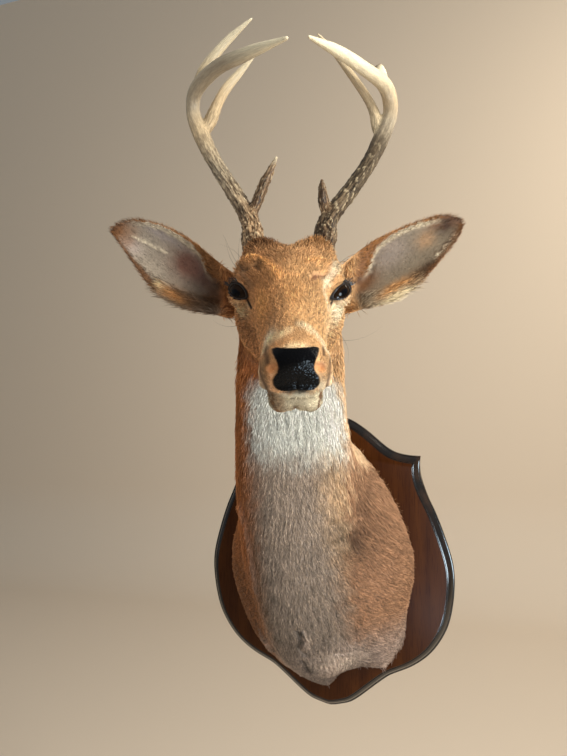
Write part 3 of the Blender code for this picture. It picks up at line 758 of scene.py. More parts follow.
def markings(p, n):
    # the coat's colour at points p of the skin with normals n
    ragged = waves3(p, 0.020, 31) * 0.0035
    ragged += waves3(p, 0.006, 34) * 0.0010
    h = toHead(p + ragged)
    m = mirrored(h)
    front = n @ unit(sideAxis * 0.12 - np.array([0, 1.0, 0]))
    x, y, z = (p + 2 * ragged).T
    # neck and shoulders: each side's colour, the grey front between them, the brown shoulder behind
    # the deer's right (neckRight, flank) is darker and its left (neckLeft) paler: partly the coat's own colour, partly
    # painted shade on the right, away from the lamps, and painted light on the left
    body = plain("neckRight", len(p))
    body = mixIn(body, "neckLeft", fade(0.0, 0.05, x))
    body = mixIn(body, "tan", fade(0.0, 0.05, x) * fade(0.25, 0.29, z) * 0.8)
    body = mixIn(body, "flank", fade(0.10, -0.02, z) * fade(-0.02, -0.06, x))
    leftEdge = lookUp(z, frontEdges["right"])
    rightEdge = lookUp(z, frontEdges["left"])
    middle = fade(-0.022, 0.030, x - leftEdge) * fade(0.018, -0.022, x - rightEdge)
    body = mixIn(body, "neckFront", middle * fade(0.29, 0.25, z) * fade(0.15, 0.5, front))
    body = mixIn(body, "shoulder", fade(0.260, 0.190, z + 0.03 * waves(p, 0.05, 43, 2)) * fade(0.066, 0.078, x))
    body = mixIn(body, "shoulder", fade(0.09, 0.03, z) * fade(0.045, 0.075, x) * 0.7)
    body = mixIn(body, "nape", fade(0.1, -0.75, front))
    body = mixIn(body, "hem", fade(-0.04, -0.12, z) * fade(-0.075, -0.035, x) * 0.8)
    # painted shade: darker lower down, and in the hollow at the foot of the neck on the deer's left
    paintedShade = 1 - fade(-0.060, -0.020, x) * (1 - 0.6 * fade(0.06, 0.10, x)) * (1 - lookUp(z, frontShade))
    paintedShade = paintedShade * (1 - 0.38 * blob(np.stack([x, 0 * x, z], 1), (0.080, 0, 0.070), (0.020, 1, 0.035)) * (x > 0))
    body = body * paintedShade[:, None]
    # a paler patch on the skirt's tongue: partly its pale hair, partly a painted highlight on the fold
    tongue = np.exp(-((x - 0.044) / 0.026) ** 2 - ((z + 0.106) / 0.024) ** 2)
    body = mixIn(body, (0.740, 0.640, 0.560), 0.75 * tongue)
    # painted shade in the hollows, and a painted highlight on the ridges
    for path, width, _, shade in bodyLines:
        d, _ = pathDistance(np.stack([x, z], 1), path)
        near = (abs(shade) * bell(d, width) * fade(-0.03, -0.06, y) * (n[:, 1] < 0.1))[:, None]
        body = body * (1 - near) if shade > 0 else body + (1.35 * np.array(coatColours["hem"]) - body) * near
    # head
    # the deer's right is rust and its left tan: partly the coat's own colour, partly painted shade on the right, away
    # from the lamps
    face = mixIn(plain("rust", len(p)), "tan", fade(-0.030, 0.010, h[:, 1]))
    for centre, radii, colour, strength, s in headStrokes:
        weight = strength * np.minimum(1.35 * blob(h, centre, radii), 1)
        if s:
            weight = weight * fade(-0.003, 0.003, h[:, 1] * s)
        face = mixIn(face, colour, weight)
    # the dark and rose creases of the folds are painted shade
    for path, width, _, colour, strength, s in headLines:
        face = mixIn(face, colour, strength * headFold(h, path, width, s))
    for path, width, colour, strength, s in eyeBands:
        d, _ = pathDistance(m, path)
        face = mixIn(face, colour, strength * bell(d, width, 4) * (h[:, 1] * s > 0))
    chin = fade(-0.024, -0.031, h[:, 2] + 0.12 * (0.19 - h[:, 0])) * fade(0.10, 0.13, h[:, 0])
    face = mixIn(face, "chin", chin)
    stain = fade(0.1, 0.7, waves(p, 0.011, 41)) * chin * fade(-0.036, -0.052, h[:, 2])
    face = mixIn(face, "brown", 0.5 * stain)
    rimmed = m[:, 1] / lookUp(h[:, 2], chinWidth)
    edge = fade(1.00, 1.06, rimmed + 0.04 * (h[:, 1] < 0)) * fade(1.30, 1.18, rimmed) * fade(0.155, 0.170, h[:, 0])
    face = mixIn(face, "crown", 0.95 * chin * edge)
    face = mixIn(face, "crown", 0.90 * chin * bell(h[:, 1], 0.0020) * fade(-0.044, -0.049, h[:, 2]))
    face = mixIn(face, "sable", 0.55 * chin * fade(-0.004, -0.016, h[:, 1]) * (rimmed < 1.2))
    # under the jaw and the throat
    under = fade(0.62, 0.92, -(n @ browAxis)) * fade(0.16, 0.11, h[:, 0])
    face = mixIn(face, "white", under)
    isHead = fade(-0.100, -0.070, jawLine(h)) * fade(-0.116, -0.092, h[:, 2])
    rgb = body * (1 - isHead[:, None]) + face * isHead[:, None]
    throat = fade(0.165, 0.222, z + 0.012 * waves(p * (1, 1, 0.3), 0.010, 42)) * (1 - isHead) * fade(0.0, 0.4, front)
    throat *= fade(-0.045, -0.018, x) * fade(0.080, 0.066, x) * fade(0.300, 0.276, z)
    rgb = mixIn(rgb, "white", throat)
    # painted shade on the throat's middle and right, under the muzzle
    rgb = rgb * (1 - 0.24 * throat * fade(0.066, 0.036, x))[:, None]
    for s in (1, -1):
        isEar = earShare(h, s)
        rgb = rgb * (1 - isEar[:, None]) + earMarkings(p, n, s) * isEar[:, None]
    # dark skin at the lids, duct, mouth and nostrils
    h = toHead(p)
    m = mirrored(h)
    for s in (1, -1):
        ratio, _, r = lidPlace(h, s)
        rgb = mixIn(rgb, "black", fade(1.24, 1.12, ratio) * (r < 0.026) * (h[:, 1] * s > 0.02))
    rgb = mixIn(rgb, "black", bell(ductReach(h), 0.0015, 4))
    d, place = pathDistance(m, mouthPath)
    rgb = mixIn(rgb, "black", 0.9 * bell(d, 0.0016, 4) * fade(1.0, 0.8, place))
    d, _ = pathDistance(m, nostrilPath)
    rgb = mixIn(rgb, "alar", 0.70 * bell(pathDistance(m, alarPath)[0], 0.0048))
    rgb = mixIn(rgb, "nostril", bell(d, 0.0042, 4))
    # dark creases painted as shade; the wide pale rim on the deer's left is partly a painted highlight
    for path, width, _, colour, strength, s in muzzleLines:
        rgb = mixIn(rgb, colour, strength * muzzleLine(h, path, width, s))
    patchy = 1 + 0.10 * waves(p, 0.030, 61) + 0.08 * waves(p, 0.008, 62)
    # streaks that run with the coat
    patchy = patchy + 0.22 * (1 - isHead) * waves(p * (1, 1, 0.16), 0.0070, 63, 3)
    patchy = patchy + 0.16 * isHead * waves(h * (0.22, 1, 1), 0.0042, 64, 3)
    return np.clip(rgb * patchy[:, None], 0.004, 0.92)


skinRgb = markings(skinCo, skinNormal)
colourAttribute(skin, "coatColour", skinRgb)
floatAttribute(skin, "padMask", fade(1.03, 0.95, padRatio(toHead(skinCo))))
print("markings painted")


def wire(tree, node, inputs):
    # each input gets a plain value, or a link from another node's output
    for key, value in inputs.items():
        if isinstance(value, bpy.types.NodeSocket):
            tree.links.new(value, node.inputs[key])
        else:
            node.inputs[key].default_value = value


def addNode(tree, kind, inputs, **settings):
    node = tree.nodes.new("ShaderNode" + kind)
    for key, value in settings.items():
        setattr(node, key, value)
    wire(tree, node, inputs)
    return node


def makeMaterial(name, fill):
    # fill(tree) gives the values and links of the Principled shader's inputs
    mat = bpy.data.materials.new(name)
    mat.use_nodes = True
    wire(mat.node_tree, mat.node_tree.nodes["Principled BSDF"], fill(mat.node_tree))
    return mat


def readAttribute(tree, name, output="Fac"):
    return addNode(tree, "Attribute", {}, attribute_name=name).outputs[output]


def mixColour(tree, factor, a, b, blend="MIX"):
    return addNode(tree, "Mix", {0: factor, 6: a, 7: b}, data_type="RGBA", blend_type=blend).outputs[2]


def between(tree, factor, low, high):
    return addNode(tree, "MapRange", {"Value": factor, "To Min": low, "To Max": high}).outputs["Result"]


def texture(tree, kind, scale, output="Fac", at=None, **more):
    at = at or addNode(tree, "TexCoord", {}).outputs["Object"]
    return addNode(tree, kind, {"Vector": at, "Scale": scale, **more}).outputs[output]


def twoTone(tree, factor, low, high):
    # low and high are each (position, colour)
    node = addNode(tree, "ValToRGB", {"Fac": factor})
    for stop, (position, colour) in zip(node.color_ramp.elements, (low, high)):
        stop.position, stop.color = position, colour
    return node.outputs["Color"]


def bump(tree, height, strength, distance):
    return addNode(tree, "Bump", {"Height": height, "Strength": strength, "Distance": distance}).outputs["Normal"]


# the skin's look; where two values are given, the first is for the hide and the second for the nose pad
hideLook = {
    "dim": (0.80, 0.76, 0.72, 1),  # painted shade: the hide under the hair is this much darker than the coat
    "pad": (0.0025, 0.0025, 0.003, 1), "roughness": (0.7, 0.22), "specular": (0.35, 0.08),
    "pores": 480, "bump": (0.35, 0.0010),
}


def hideFill(tree):
    pad = readAttribute(tree, "padMask")
    # the coat's colour, darkened as painted shade under the hair
    hide = mixColour(tree, 1.0, readAttribute(tree, "coatColour", "Color"), hideLook["dim"], "MULTIPLY")
    return {"Base Color": mixColour(tree, pad, hide, hideLook["pad"]),
            "Roughness": between(tree, pad, *hideLook["roughness"]),
            "Specular IOR Level": between(tree, pad, *hideLook["specular"]),
            "Normal": bump(tree, texture(tree, "TexVoronoi", hideLook["pores"], "Distance"), *hideLook["bump"])}


skin.data.materials.append(makeMaterial("hide", hideFill))
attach(skin, "root")
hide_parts("shoulders", "neck", "head", "ear_left", "ear_right")


def unwrapSkin():
    # an unwrap of the skin's own shape, which places each tuft's patch
    bpy.context.view_layer.objects.active = skin
    skin.select_set(True)
    skin.data.uv_layers.new(name="skinUnwrap")
    bpy.ops.object.mode_set(mode="EDIT")
    bpy.ops.mesh.select_all(action="SELECT")
    bpy.ops.uv.smart_project(angle_limit=radians(66), island_margin=0.002)
    bpy.ops.object.mode_set(mode="OBJECT")
    skin.select_set(False)
    uv = np.empty(len(skin.data.loops) * 2)
    skin.data.uv_layers["skinUnwrap"].uv.foreach_get("vector", uv)
    corner = np.empty(len(skin.data.loops), np.int32)
    skin.data.loops.foreach_get("vertex_index", corner)
    return uv.reshape(-1, 3, 2), corner.reshape(-1, 3)


skinUv, skinCorners = unwrapSkin()
print("skin unwrapped")

spine = [fromHead((0.190, 0, -0.020)), fromHead((0.100, 0, -0.022)), fromHead((0.010, 0, -0.020)),
         fromHead((-0.070, 0, -0.035)), np.array((0.006, -0.235, 0.285)), np.array((0.001, -0.220, 0.231)),
         np.array((-0.002, -0.180, 0.123)), np.array((0.0, -0.100, 0.040)), np.array((0.0, -0.010, -0.010))]


def flowAt(p, n, h):
    # the lie of the coat: along the body from nose to plaque, hanging a little
    _, place = pathDistance(p, spine)
    runs = unit(np.diff(np.array(spine), axis=0))
    at = np.clip(place * len(runs) - 0.5, 0, len(runs) - 1)
    low = np.floor(at).astype(int)
    high = np.minimum(low + 1, len(runs) - 1)
    flow = unit(runs[low] + (runs[high] - runs[low]) * (at - low)[:, None])
    x, y, z = p.T
    neck = fade(0.34, 0.25, z) * fade(-0.02, -0.10, h[:, 0])
    flow = flow + np.array([0, 0, -0.55]) * neck[:, None]
    # shoulders: outwards to the plaque, and a skirt that lies out over it
    skirt = fade(0.10, 0.02, z) * fade(0.05, 0.09, np.abs(x))
    flow = unit(flow) + skirt[:, None] * np.stack([1.1 * np.sign(x), 0.5 + 0 * x, 0.1 + 0 * x], 1)
    edge = fade(-0.055, -0.030, y)
    radial = unit(np.stack([x, 0 * x, z], 1))
    flow = flow * (1 - edge[:, None]) + (radial * 0.9 + np.array([0, 0.45, -0.3])) * edge[:, None]
    # face: up over the brow, round the eyes, back and down on the cheeks
    brow = blob(h, (0.0, 0.0, 0.045), (0.055, 0.08, 0.03))
    flow = flow + brow[:, None] * (browAxis * 0.5 + sideAxis * 0.35 * np.sign(h[:, 1])[:, None])
    cheek = fade(-0.015, -0.05, h[:, 2]) * fade(-0.1, 0.0, h[:, 0])
    flow = flow - cheek[:, None] * browAxis * 0.45
    for s in (1, -1):
        e = toEar(p, s)
        isEar = earShare(h, s, 0.080, 0.100)
        axis = unit(earFrames[s][1][0])
        rimward = earFrames[s][1][1] * np.clip(e[:, 1] / 0.035, -1, 1)[:, None] * 0.5
        flow = flow * (1 - isEar[:, None]) + (axis + rimward) * isEar[:, None]
    sway = np.where(onEars(h), 0.08, 0.26)
    flow = unit(flow) + sway[:, None] * waves3(p, 0.05, 71)
    return unit(flow - n * (flow * n).sum(1, keepdims=True))


def locks(p, flow, size, reach, seed):
    # noise smeared along the lie of the coat, about -1 to 1
    steps = np.linspace(-0.5, 0.5, 7)
    return np.clip(2.2 * sum(waves(p + flow * reach * k, size, seed, 2, 28) for k in steps) / len(steps), -1, 1)


# length, width, spacing in millimetres and lift; each zone fades into the next
coatZones = {
    "neck": (19.0, 0.92, 2.42, 0.19), "shoulder": (13.0, 0.92, 2.38, 0.19), "throat": (13.5, 0.80, 2.05, 0.17),
    "jaw": (10.0, 0.85, 2.00, 0.22), "forehead": (10.0, 0.72, 1.80, 0.24), "crown": (10.5, 0.65, 1.60, 0.42),
    "cheek": (8.0, 0.66, 1.70, 0.18), "muzzle": (4.8, 0.52, 1.38, 0.18), "nose": (2.2, 0.42, 1.05, 0.22),
    "lip": (1.1, 0.36, 0.95, 0.14), "eye": (3.4, 0.45, 1.20, 0.18), "earBack": (8.0, 0.55, 1.85, 0.12),
    "earCup": (6.0, 0.35, 4.00, 0.08), "earRim": (6.0, 0.55, 1.45, 0.40), "earFringe": (15.0, 0.60, 1.55, 0.16),
    "edge": (12.0, 1.00, 2.30, 0.25),
}


def zoneValues(p, n, h):
    # each point's length, width, spacing and lift, mixed from the zones it lies in
    m = mirrored(h)
    zones = {k: np.zeros(len(p)) for k in coatZones}
    zones["neck"] += 1

    def over(name, weight):
        weight = np.clip(weight, 0, 1)
        for key in zones:
            zones[key] *= 1 - weight
        zones[name] += weight

    x, y, z = p.T
    over("shoulder", fade(0.12, 0.02, z) * fade(0.03, 0.08, np.abs(x)))
    over("throat", fade(0.17, 0.21, z) * fade(0.30, 0.27, z) * fade(0.1, 0.5, -n[:, 1]))
    over("edge", fade(-0.040, -0.028, y))
    for path, width, _, shade in bodyLines:
        if shade > 0.25:
            d, _ = pathDistance(p[:, [0, 2]], path)
            over("jaw", 0.6 * bell(d, width + 0.002) * fade(-0.03, -0.06, y))
    over("jaw", fade(-0.110, -0.070, jawLine(h)))
    over("forehead", fade(0.0, 0.02, h[:, 2]) * fade(-0.09, -0.06, h[:, 0]))
    over("cheek", fade(-0.01, 0.03, h[:, 0]))
    over("crown", np.minimum(1.5 * blob(h, (-0.058, 0.028, 0.056), (0.024, 0.028, 0.020)), 1))
    over("muzzle", fade(0.085, 0.125, h[:, 0]))
    over("nose", fade(0.158, 0.172, h[:, 0]))
    for path, width, depth, _, _, s in headLines:
        if depth > 0:
            over("eye", 0.8 * headFold(h, path, width + 0.0015, s))
    over("lip", bell(pathDistance(m, mouthPath)[0], 0.0032, 4) * (h[:, 0] > 0.14))
    for path, width, depth, _, _, s in muzzleLines:
        over("lip", muzzleLine(h, path, width + 0.0022, s) * (depth > 0))
    over("lip", bell(ductReach(h), 0.0032, 4))
    for s in (1, -1):
        ratio, _, r = lidPlace(h, s)
        over("eye", fade(2.0, 1.4, ratio) * (r < 0.035) * (h[:, 1] * s > 0.02))
        e = toEar(p, s)
        isEar = earShare(h, s)
        inner = fade(0.0, 0.2, n @ earFrames[s][1][2])
        over("earBack", isEar)
        over("earCup", isEar * inner)
        above, below = e[:, 1] - lookUp(e[:, 0], cupEdge[s]), e[:, 1] - lookUp(e[:, 0], lowEdge)
        over("earBack", isEar * inner * fade(0.0, 0.001, above))
        over("earRim", 0.8 * isEar * inner * fade(-0.009, -0.002, above) * fade(0.4, 0.5, e[:, 0]) * (above < 0))
        over("earFringe", isEar * inner * fade(0.018, 0.010, below) * fade(0.62, 0.50, e[:, 0]))
        over("earRim", 0.7 * isEar * inner * fade(0.012, 0.004, below) * fade(0.5, 0.62, e[:, 0]))
        over("earRim", isEar * fade(0.35, 0.15, np.abs(n @ earFrames[s][1][2])))
    table = np.array([coatZones[k] for k in zones])
    return np.stack([zones[k] for k in zones], 1) @ table


def bareSkin(h):
    # 1 where no hair grows
    m = mirrored(h)
    bare = fade(1.08, 1.0, padRatio(h))
    for s in (1, -1):
        ratio, _, r = lidPlace(h, s)
        bare = np.maximum(bare, (ratio < 1.20) & (r < 0.026) & (h[:, 1] * s > 0.02))
    bare = np.maximum(bare, pathDistance(m, nostrilPath)[0] < 0.0042)
    bare = np.maximum(bare, ductReach(h) < 0.0013)
    bare = np.maximum(bare, (pathDistance(m, mouthPath)[0] < 0.0016) & (h[:, 0] > 0.13))
    return bare


def rootsOnSkin(seed):
    # tuft roots spread over the skin at each zone's spacing
    rng = np.random.default_rng(seed)
    middle = skinCo[skinTri].mean(1)
    n = unit(skinNormal[skinTri].sum(1))
    h = toHead(middle)
    values = zoneValues(middle, n, h)
    area = np.linalg.norm(np.cross(skinCo[skinTri[:, 1]] - skinCo[skinTri[:, 0]],
                                   skinCo[skinTri[:, 2]] - skinCo[skinTri[:, 0]]), axis=1) / 2
    hidden = (middle[:, 1] > -0.0225) & (np.abs(n[:, 1]) > 0.8)
    weight = area / (values[:, 2] / 1000) ** 2 * (1 - bareSkin(h)) * ~hidden
    total = np.cumsum(weight)
    count = int(total[-1])
    pick = np.searchsorted(total, (np.arange(count) + rng.random(count)) * total[-1] / count)
    pick = np.minimum(pick, len(skinTri) - 1)
    u, v = rng.random((2, count))
    flip = u + v > 1
    u[flip], v[flip] = 1 - u[flip], 1 - v[flip]
    bary = np.stack([1 - u - v, u, v], 1)
    p = (skinCo[skinTri[pick]] * bary[:, :, None]).sum(1)
    n = unit((skinNormal[skinTri[pick]] * bary[:, :, None]).sum(1))
    uv = (skinUv[pick] * bary[:, :, None]).sum(1)
    return p, n, uv, rng


tuftPatch = 0.003  # size of each tuft's patch on the map


def tuftPiece(name, root, normal, flow, length, width, lift, curl, rgb, uv, rings, material):
    # each tuft is a closed three-sided lock that lies along the flow and tapers to a point
    count = len(root)
    side = np.cross(normal, flow)
    steps = len(rings)
    co = np.empty((count, steps * 3 + 1, 3))
    along = np.empty((count, steps * 3 + 1))
    patch = np.empty((count, steps * 3 + 1, 2))
    for k, t in enumerate(list(rings) + [1.0]):
        centre = (root + flow * (length * t)[:, None]
                  + normal * (length * (lift * t * (1.25 - 0.6 * t)) - 0.0006 * (k == 0))[:, None]
                  + side * (curl * length * t * t)[:, None])
        if k == steps:
            co[:, -1] = centre
            along[:, -1] = 1
            patch[:, -1] = (0.5, 0)
            continue
        half = (width * (0.5 + 1.1 * t if t < 0.4 else 1.15 - 0.8 * (t - 0.3)) / 2)[:, None]
        for c, (sideways, upward) in enumerate(((-1, 0), (1, 0), (0, 0.9))):
            co[:, 3 * k + c] = centre + side * half * sideways + normal * half * upward
            patch[:, 3 * k + c] = (t - 0.5, 0.45 * sideways)
        along[:, 3 * k:3 * k + 3] = t
    faces = [(0, 2, 1)]
    for k in range(steps - 1):
        for a, b in ((0, 1), (1, 2), (2, 0)):
            faces += [(3 * k + a, 3 * k + b, 3 * k + 3 + b), (3 * k + a, 3 * k + 3 + b, 3 * k + 3 + a)]
    last = 3 * (steps - 1)
    faces += [(last, last + 1, last + 3), (last + 1, last + 2, last + 3), (last + 2, last, last + 3)]
    points = steps * 3 + 1
    tri = (np.array(faces)[None] + (np.arange(count) * points)[:, None, None]).reshape(-1, 3)
    ob = writeMesh(name, co.reshape(-1, 3), tri)
    colourAttribute(ob, "coatColour", np.repeat(rgb, points, axis=0))
    floatAttribute(ob, "along", along.ravel())
    layer = ob.data.uv_layers.new(name="OFBake")
    uvPoint = (uv[:, None] + tuftPatch * patch).reshape(-1, 2)
    layer.uv.foreach_set("vector", uvPoint[tri.ravel()].astype(np.float32).ravel())
    ob.data.materials.append(material)
    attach(ob, "root")
    return ob


coatBuild = {
    "seed": 5,
    "fullPiece": 185000,  # most triangles in one piece
    "chest": 0.06,  # height where the neck's pieces meet the shoulders'
    "short": 0.0110,  # tufts shorter than this belong to the face
    "lengthVary": (0.75, 1.2), "widthVary": (0.8, 1.25), "liftVary": (0.5, 1.4), "toneVary": (0.74, 1.24),
    "curl": 0.10, "stray": 0.16,  # spread of each tuft's bend and of its turn off the lie, in radians
    # tufts gather in locks: size of a lock, how far it runs, and seed, in short and in long hair
    "shortLocks": (0.0048, 0.010, 76), "longLocks": (0.0100, 0.020, 77),
    "lockLift": 0.45, "lockTone": 0.36, "shortLockTone": 0.30, "paleLockTone": -0.34,
    "shortRings": (0, 0.45), "longRings": (0, 0.35, 0.7),  # where along a tuft its cross-sections are
}
coatLook = {
    "roughness": 0.6, "specular": 0.22,
    "root": (0, (0.42, 0.37, 0.33, 1)), "tip": (0.75, (1.12, 1.10, 1.06, 1)),  # place along a tuft, and shade: darker at the root, as painted shade deep in the coat
}


def coatFill(tree):
    # painted shade: each tuft is darker towards its root
    shade = twoTone(tree, readAttribute(tree, "along"), coatLook["root"], coatLook["tip"])
    return {"Base Color": mixColour(tree, 1.0, readAttribute(tree, "coatColour", "Color"), shade, "MULTIPLY"),
            "Roughness": coatLook["roughness"], "Specular IOR Level": coatLook["specular"]}


def makeCoat():
    p, n, uv, rng = rootsOnSkin(coatBuild["seed"])
    h = toHead(p)
    values = zoneValues(p, n, h)
    ruff = blob(p * (1, 0, 1), (-0.058, 0, -0.094), (0.014, 1, 0.012)) * (p[:, 0] < 0)
    length = values[:, 0] / 1000 * rng.uniform(*coatBuild["lengthVary"], len(p)) * (1 + 0.5 * ruff)
    width = values[:, 1] / 1000 * rng.uniform(*coatBuild["widthVary"], len(p))
    lift = values[:, 3] * rng.uniform(*coatBuild["liftVary"], len(p))
    curl = rng.normal(0, coatBuild["curl"], len(p)) * np.where(np.abs(h[:, 1]) > 0.084, 0.5, 1)
    flow = flowAt(p, n, h)
    yaw = rng.normal(0, coatBuild["stray"], len(p))[:, None]
    flow = unit(flow * np.cos(yaw) + np.cross(n, flow) * np.sin(yaw))
    fine = fade(0.016, 0.008, values[:, 0] / 1000)
    lock = locks(p, flow, *coatBuild["shortLocks"]) * fine + locks(p, flow, *coatBuild["longLocks"]) * (1 - fine)
    rgb = markings(p, n)
    pale = fade(0.40, 0.70, rgb[:, 2])
    lift = lift * (1 + coatBuild["lockLift"] * (1 - 0.6 * pale) * lock)
    tone = coatBuild["lockTone"] + coatBuild["shortLockTone"] * fine + coatBuild["paleLockTone"] * pale
    rgb = rgb * (rng.uniform(*coatBuild["toneVary"], len(p)) * (1 + tone * lock))[:, None]
    short = length < coatBuild["short"]
    leftSide = h[:, 1] > 0
    ear = onEars(h)
    front = n[:, 1] < -0.35
    above = p[:, 2] > coatBuild["chest"]
    groups = {
        "coatEarLeft": ear & leftSide, "coatEarRight": ear & ~leftSide,
        "coatFaceLeft": short & ~ear & leftSide, "coatFaceRight": short & ~ear & ~leftSide,
        "coatNeckFront": ~short & ~ear & front & above,
        "coatNeckBack": ~short & ~ear & ~front & above,
        "coatShoulderLeft": ~short & ~ear & ~above & (p[:, 0] > 0),
        "coatShoulderRight": ~short & ~ear & ~above & (p[:, 0] <= 0),
    }
    material = makeMaterial("hair", coatFill)
    total = 0
    for name, chosen in groups.items():
        k = np.flatnonzero(chosen)
        rings = coatBuild["shortRings" if "Face" in name or "Ear" in name else "longRings"]
        pieces = int(np.ceil(len(k) * (6 * len(rings) - 2) / coatBuild["fullPiece"]))
        for part, some in enumerate(np.array_split(k, pieces)):
            ob = tuftPiece(name + (str(part + 1) if pieces > 1 else ""), p[some], n[some], flow[some], length[some],
                           width[some], lift[some], curl[some], rgb[some], uv[some], rings, material)
            total += len(ob.data.polygons)
    print("coat grown:", len(p), "tufts,", total, "triangles")


makeCoat()

# long hairs of the face: root on the head, way it grows, length, bend, side
whiskers = [
    ((0.030, 0.058, -0.040), (0.2, 1.0, -0.3), 0.050, 0.9, 1),
    ((0.042, 0.057, -0.044), (0.3, 1.0, -0.6), 0.060, -0.7, 1),
    ((0.060, 0.053, -0.050), (0.3, 1.0, -0.5), 0.045, 1.2, 1),
    ((0.090, 0.044, -0.044), (0.4, 1.0, -0.2), 0.042, 1.4, 1),
    ((0.115, 0.037, -0.038), (0.3, 1.0, 0.1), 0.038, -1.3, 1),
    ((0.130, 0.034, -0.030), (0.5, 1.0, -0.3), 0.034, 1.0, 1),
    ((0.010, 0.060, -0.034), (0.0, 1.0, -0.7), 0.044, 0.8, -1),
    ((0.034, 0.058, -0.044), (0.1, 1.0, -0.5), 0.040, -1.2, -1),
    ((0.060, 0.053, -0.050), (0.2, 1.0, -0.4), 0.046, 1.2, -1),
    ((0.085, 0.046, -0.046), (0.3, 1.0, 0.2), 0.034, -1.4, -1),
    ((0.120, 0.036, -0.034), (0.4, 1.0, -0.1), 0.034, 1.1, -1),
    ((-0.006, 0.054, 0.026), (0.2, 0.5, 1.0), 0.042, 0.5, -1),
    ((-0.002, 0.052, 0.028), (0.3, 0.9, 1.0), 0.046, 0.3, -1),
    ((-0.012, 0.052, 0.030), (0.1, 0.3, 1.0), 0.036, -0.5, -1),
    ((-0.010, 0.056, 0.024), (0.2, 1.2, 0.9), 0.040, 0.6, -1),
    ((-0.004, 0.053, 0.027), (0.2, 0.7, 1.0), 0.034, 0.4, 1),
]


whiskerLook = {"dark": (0.02, 0.012, 0.008, 1), "light": (0.10, 0.055, 0.03, 1), "grain": 60, "roughness": 0.5,
               "thick": 0.00024}


def whiskerFill(tree):
    tone = texture(tree, "TexNoise", whiskerLook["grain"])
    return {"Base Color": mixColour(tree, tone, whiskerLook["dark"], whiskerLook["light"]),
            "Roughness": whiskerLook["roughness"]}


def makeWhiskers():
    bm = bmesh.new()
    ring = [(cos(2 * pi * k / 3), sin(2 * pi * k / 3)) for k in range(3)]
    for root, way, length, bend, s in whiskers:
        flip = np.array([1.0, s, 1.0])
        place, way = fromHead(np.array(root) * flip), unit(np.array(way) * flip) @ headAxes
        nearest = skinCo[np.argmin(np.linalg.norm(skinCo - place, axis=1))]
        side = unit(np.cross(way, levelAxis))
        curve = np.cross(side, way)
        rows = []
        for t in np.linspace(0, 1, 13):
            turned = bend * t
            lean = way * cos(turned) + side * sin(turned) + 0.25 * t * curve * sin(3 * t + bend)
            middle = nearest + length * t * lean
            width = whiskerLook["thick"] * (1 - 0.75 * t)
            rows.append([bm.verts.new(middle + width * (side * a + curve * b)) for a, b in ring])
        for low, high in zip(rows, rows[1:]):
            for k in range(3):
                bm.faces.new((low[k], low[(k + 1) % 3], high[(k + 1) % 3], high[k]))
        bm.faces.new(rows[0][::-1])
        bm.faces.new(rows[-1])
    bmesh.ops.recalc_face_normals(bm, faces=bm.faces)
    ob = scratchObject("whiskers", bm)
    ob.data.materials.append(makeMaterial("whiskerHair", whiskerFill))
    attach(ob, "root")


makeWhiskers()
print("whiskers set")


eyeLook = {
    "iris": ((0.020, 0.009, 0.004, 1), (0.007, 0.004, 0.002, 1)), "pupil": (0.002, 0.002, 0.003, 1), "flecks": 900,
    "roughness": 0.05, "specular": 0.13,
    "lid": ((0.010, 0.007, 0.006, 1), (0.030, 0.020, 0.016, 1)), "lidGrain": 1400, "rimTube": 0.0007,
    "pupilAt": (-2, 2), "pupilReach": (21, 13),  # degrees to the side and up from the middle of the opening
    "lashes": 60, "lashLength": (0.005, 0.010), "lashWidth": 0.0005, "lashLift": 0.2, "lashCurl": 0.10,
}


def glassFill(tree):
    iris = mixColour(tree, texture(tree, "TexNoise", eyeLook["flecks"]), *eyeLook["iris"])
    return {"Base Color": mixColour(tree, readAttribute(tree, "pupil"), iris, eyeLook["pupil"]),
            "Roughness": eyeLook["roughness"], "Specular IOR Level": eyeLook["specular"]}


def lidFill(tree):
    grain = texture(tree, "TexNoise", eyeLook["lidGrain"])
    return {"Base Color": mixColour(tree, grain, *eyeLook["lid"]), "Roughness": 0.28,
            "Coat Weight": 0.3, "Coat Roughness": 0.15}


def lidCurve(s, ratio, count):
    # points round the lids' opening: the way out from the eye's centre at each, and its angles
    centre, axes = eyeFrame(s)
    angle = np.linspace(0, 2 * pi, count, endpoint=False)
    around = np.stack([np.cos(angle), np.sin(angle)], 1)
    flat = around * lidReach(around, s)[:, None] * ratio
    bend = np.radians(np.linalg.norm(flat, axis=1))
    out = np.stack([around[:, 0] * np.sin(bend), around[:, 1] * np.sin(bend), np.cos(bend)], 1) @ axes
    return centre, out, flat


def tubeMesh(name, points, radius):
    # a tube that closes on itself
    data = bpy.data.curves.new(name, "CURVE")
    data.dimensions = "3D"
    data.bevel_depth = radius
    data.bevel_resolution = 2
    line = data.splines.new("POLY")
    line.points.add(len(points) - 1)
    line.points.foreach_set("co", np.c_[points, np.ones(len(points))].ravel())
    line.use_cyclic_u = True
    mesh = bakedMesh(placed(name + "Curve", data))
    mesh.name = name
    return placed(name, mesh)


